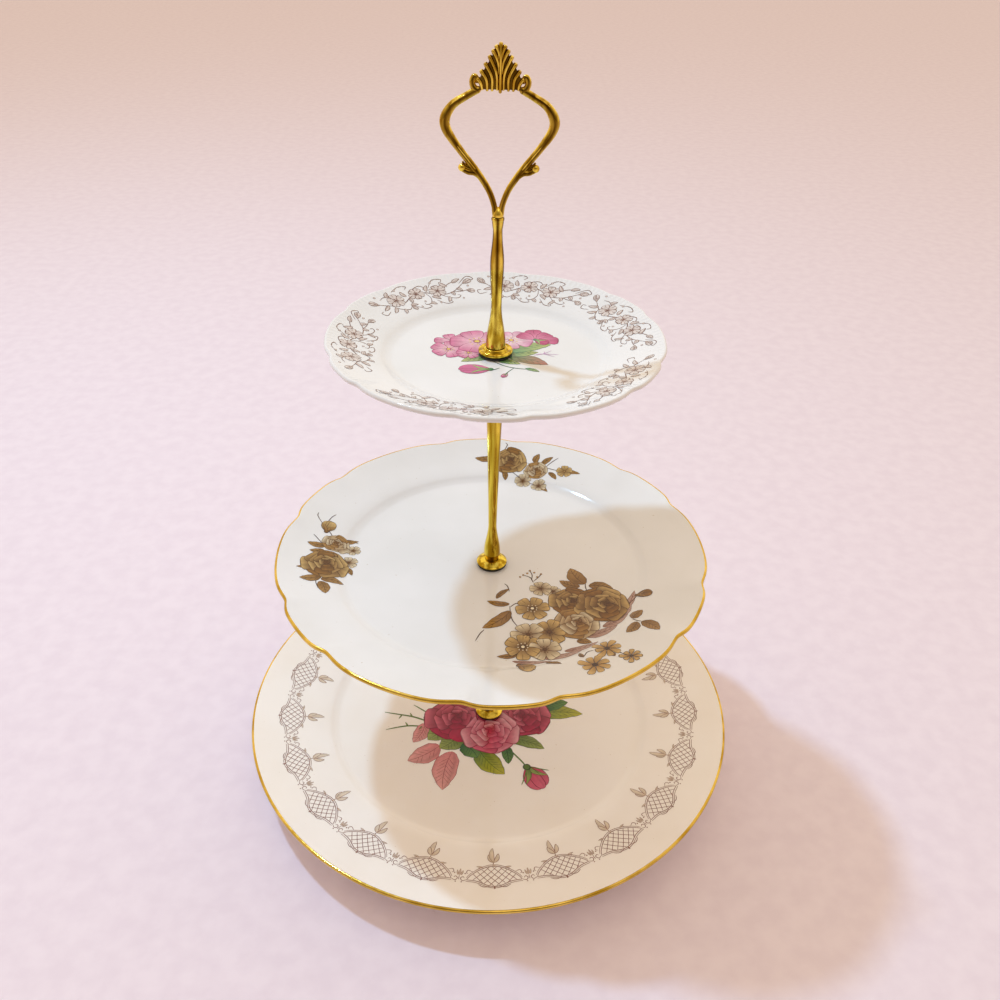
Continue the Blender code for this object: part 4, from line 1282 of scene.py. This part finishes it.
def handle():
    """The cast loop on its peg."""
    _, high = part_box("handle_loop")
    _, _, foot = extent("handle_stem")
    foot += GAP
    tall = high[2] - foot
    work = Patchwork()
    for side in (-1, 1):
        handle_side(work, side, foot, tall)
    crown(work, foot + tall - CROWN_HEIGHT)
    peg = [(0.2 * MM, -3.0 * MM), (1.1 * MM, -3.0 * MM), (1.1 * MM, 0.0), (2.2 * MM, 0.0)]
    peg += [(2.25 * MM, 0.6 * MM), (2.0 * MM, 1.8 * MM), (1.2 * MM, 3.2 * MM), (0.2 * MM, 3.8 * MM)]
    ring = turned(np.array(peg) + [0.0, foot], 40)
    work.grid(ring[:, ::-1], close_columns=True)
    casting = flat_map(work.build("handle_loop_casting", [OLD_GOLD]), 0, 2)
    fit(casting, "handle", "gold", "handle_loop")


# ---------------------------------------------------------------- floor, light and camera
def stage():
    """Plain pale floor."""
    work = Patchwork()
    turn = circle(ROUND_STEPS)
    reach = np.array([0.02, 0.4, 1.5, 4.0, 9.0])[:, None]
    points = polar(reach, turn, 0 * reach * turn)
    work.grid(points, close_columns=True)
    work.fan(points[0], (0.0, 0.0, 0.0))
    made = Recipe("floor", Roughness=0.85)
    made.colour(made.ramp(made.noise(90, 3), srgb(238, 226, 238), srgb(243, 232, 243)))
    floor = work.build("floor", [made.material], flip=True)
    floor.location.z = -FLOOR_DROP


def lamp(name, toward, distance, size, power, colour):
    """Hang a round soft light in a direction from the stand's middle."""
    light = bpy.data.lights.new(name, "AREA")
    light.shape = "DISK"
    light.size = size
    light.energy = power
    light.color = colour
    holder = bpy.data.objects.new(name, light)
    way = np.array(toward, float)
    spot = STAND_MIDDLE + way / np.linalg.norm(way) * distance
    holder.location = spot
    holder.rotation_euler = Vector(STAND_MIDDLE - spot).to_track_quat("-Z", "Y").to_euler()
    bpy.context.collection.objects.link(holder)


def surroundings():
    """Even room light: pale behind the stand, dim behind the viewer."""
    world = bpy.data.worlds.new("room")
    world.use_nodes = True
    nodes = world.node_tree.nodes
    links = world.node_tree.links
    place = nodes.new("ShaderNodeTexCoord")
    split = nodes.new("ShaderNodeSeparateXYZ")
    links.new(place.outputs["Generated"], split.inputs["Vector"])
    ramp = nodes.new("ShaderNodeValToRGB")
    ramp.color_ramp.elements[0].position = 0.0
    ramp.color_ramp.elements[0].color = (0.20, 0.145, 0.10, 1)
    ramp.color_ramp.elements[1].position = 1.0
    ramp.color_ramp.elements[1].color = (1.0, 0.86, 0.70, 1)
    middle = ramp.color_ramp.elements.new(0.5)
    middle.color = (0.86, 0.68, 0.50, 1)
    shift = nodes.new("ShaderNodeMapRange")
    shift.inputs["From Min"].default_value = -1.0
    links.new(split.outputs["Y"], shift.inputs["Value"])
    links.new(shift.outputs["Result"], ramp.inputs["Fac"])
    links.new(ramp.outputs["Color"], nodes["Background"].inputs["Color"])
    nodes["Background"].inputs["Strength"].default_value = ROOM_LIGHT
    bpy.context.scene.world = world


def camera():
    """Look down on the stand from in front, a little off level."""
    pitch, yaw, roll = VIEW_PITCH, VIEW_YAW, VIEW_ROLL
    data = bpy.data.cameras.new("view")
    data.sensor_width = 36.0
    data.lens = VIEW_LENS
    data.clip_start = 0.01
    holder = bpy.data.objects.new("view", data)
    ahead = np.array([sin(yaw) * cos(pitch), cos(yaw) * cos(pitch), -sin(pitch)])
    right = np.array([cos(yaw), -sin(yaw), 0.0])
    up = np.cross(right, ahead)
    side = cos(roll) * right + sin(roll) * up
    top = -sin(roll) * right + cos(roll) * up
    turn = Matrix([list(row) for row in np.stack([side, top, -ahead], 1)])
    holder.matrix_world = Matrix.Translation(VIEW_FROM) @ turn.to_4x4()
    bpy.context.collection.objects.link(holder)
    bpy.context.scene.camera = holder
    bpy.context.scene.view_settings.view_transform = "Standard"


def lights():
    """One key from the upper left, and a weak soft fill."""
    lamp("key", toward=(-0.47, 0.26, 1.0), distance=1.45, size=0.085, power=9.6,
         colour=(0.42, 0.70, 1.0))
    lamp("fill", toward=(0.2, -0.5, 1.0), distance=2.2, size=1.2, power=3.0,
         colour=(1.0, 0.93, 0.88))


china()
top_print()
middle_print()
bottom_print()
rod_set()
handle()
stage()
surroundings()
lights()
camera()
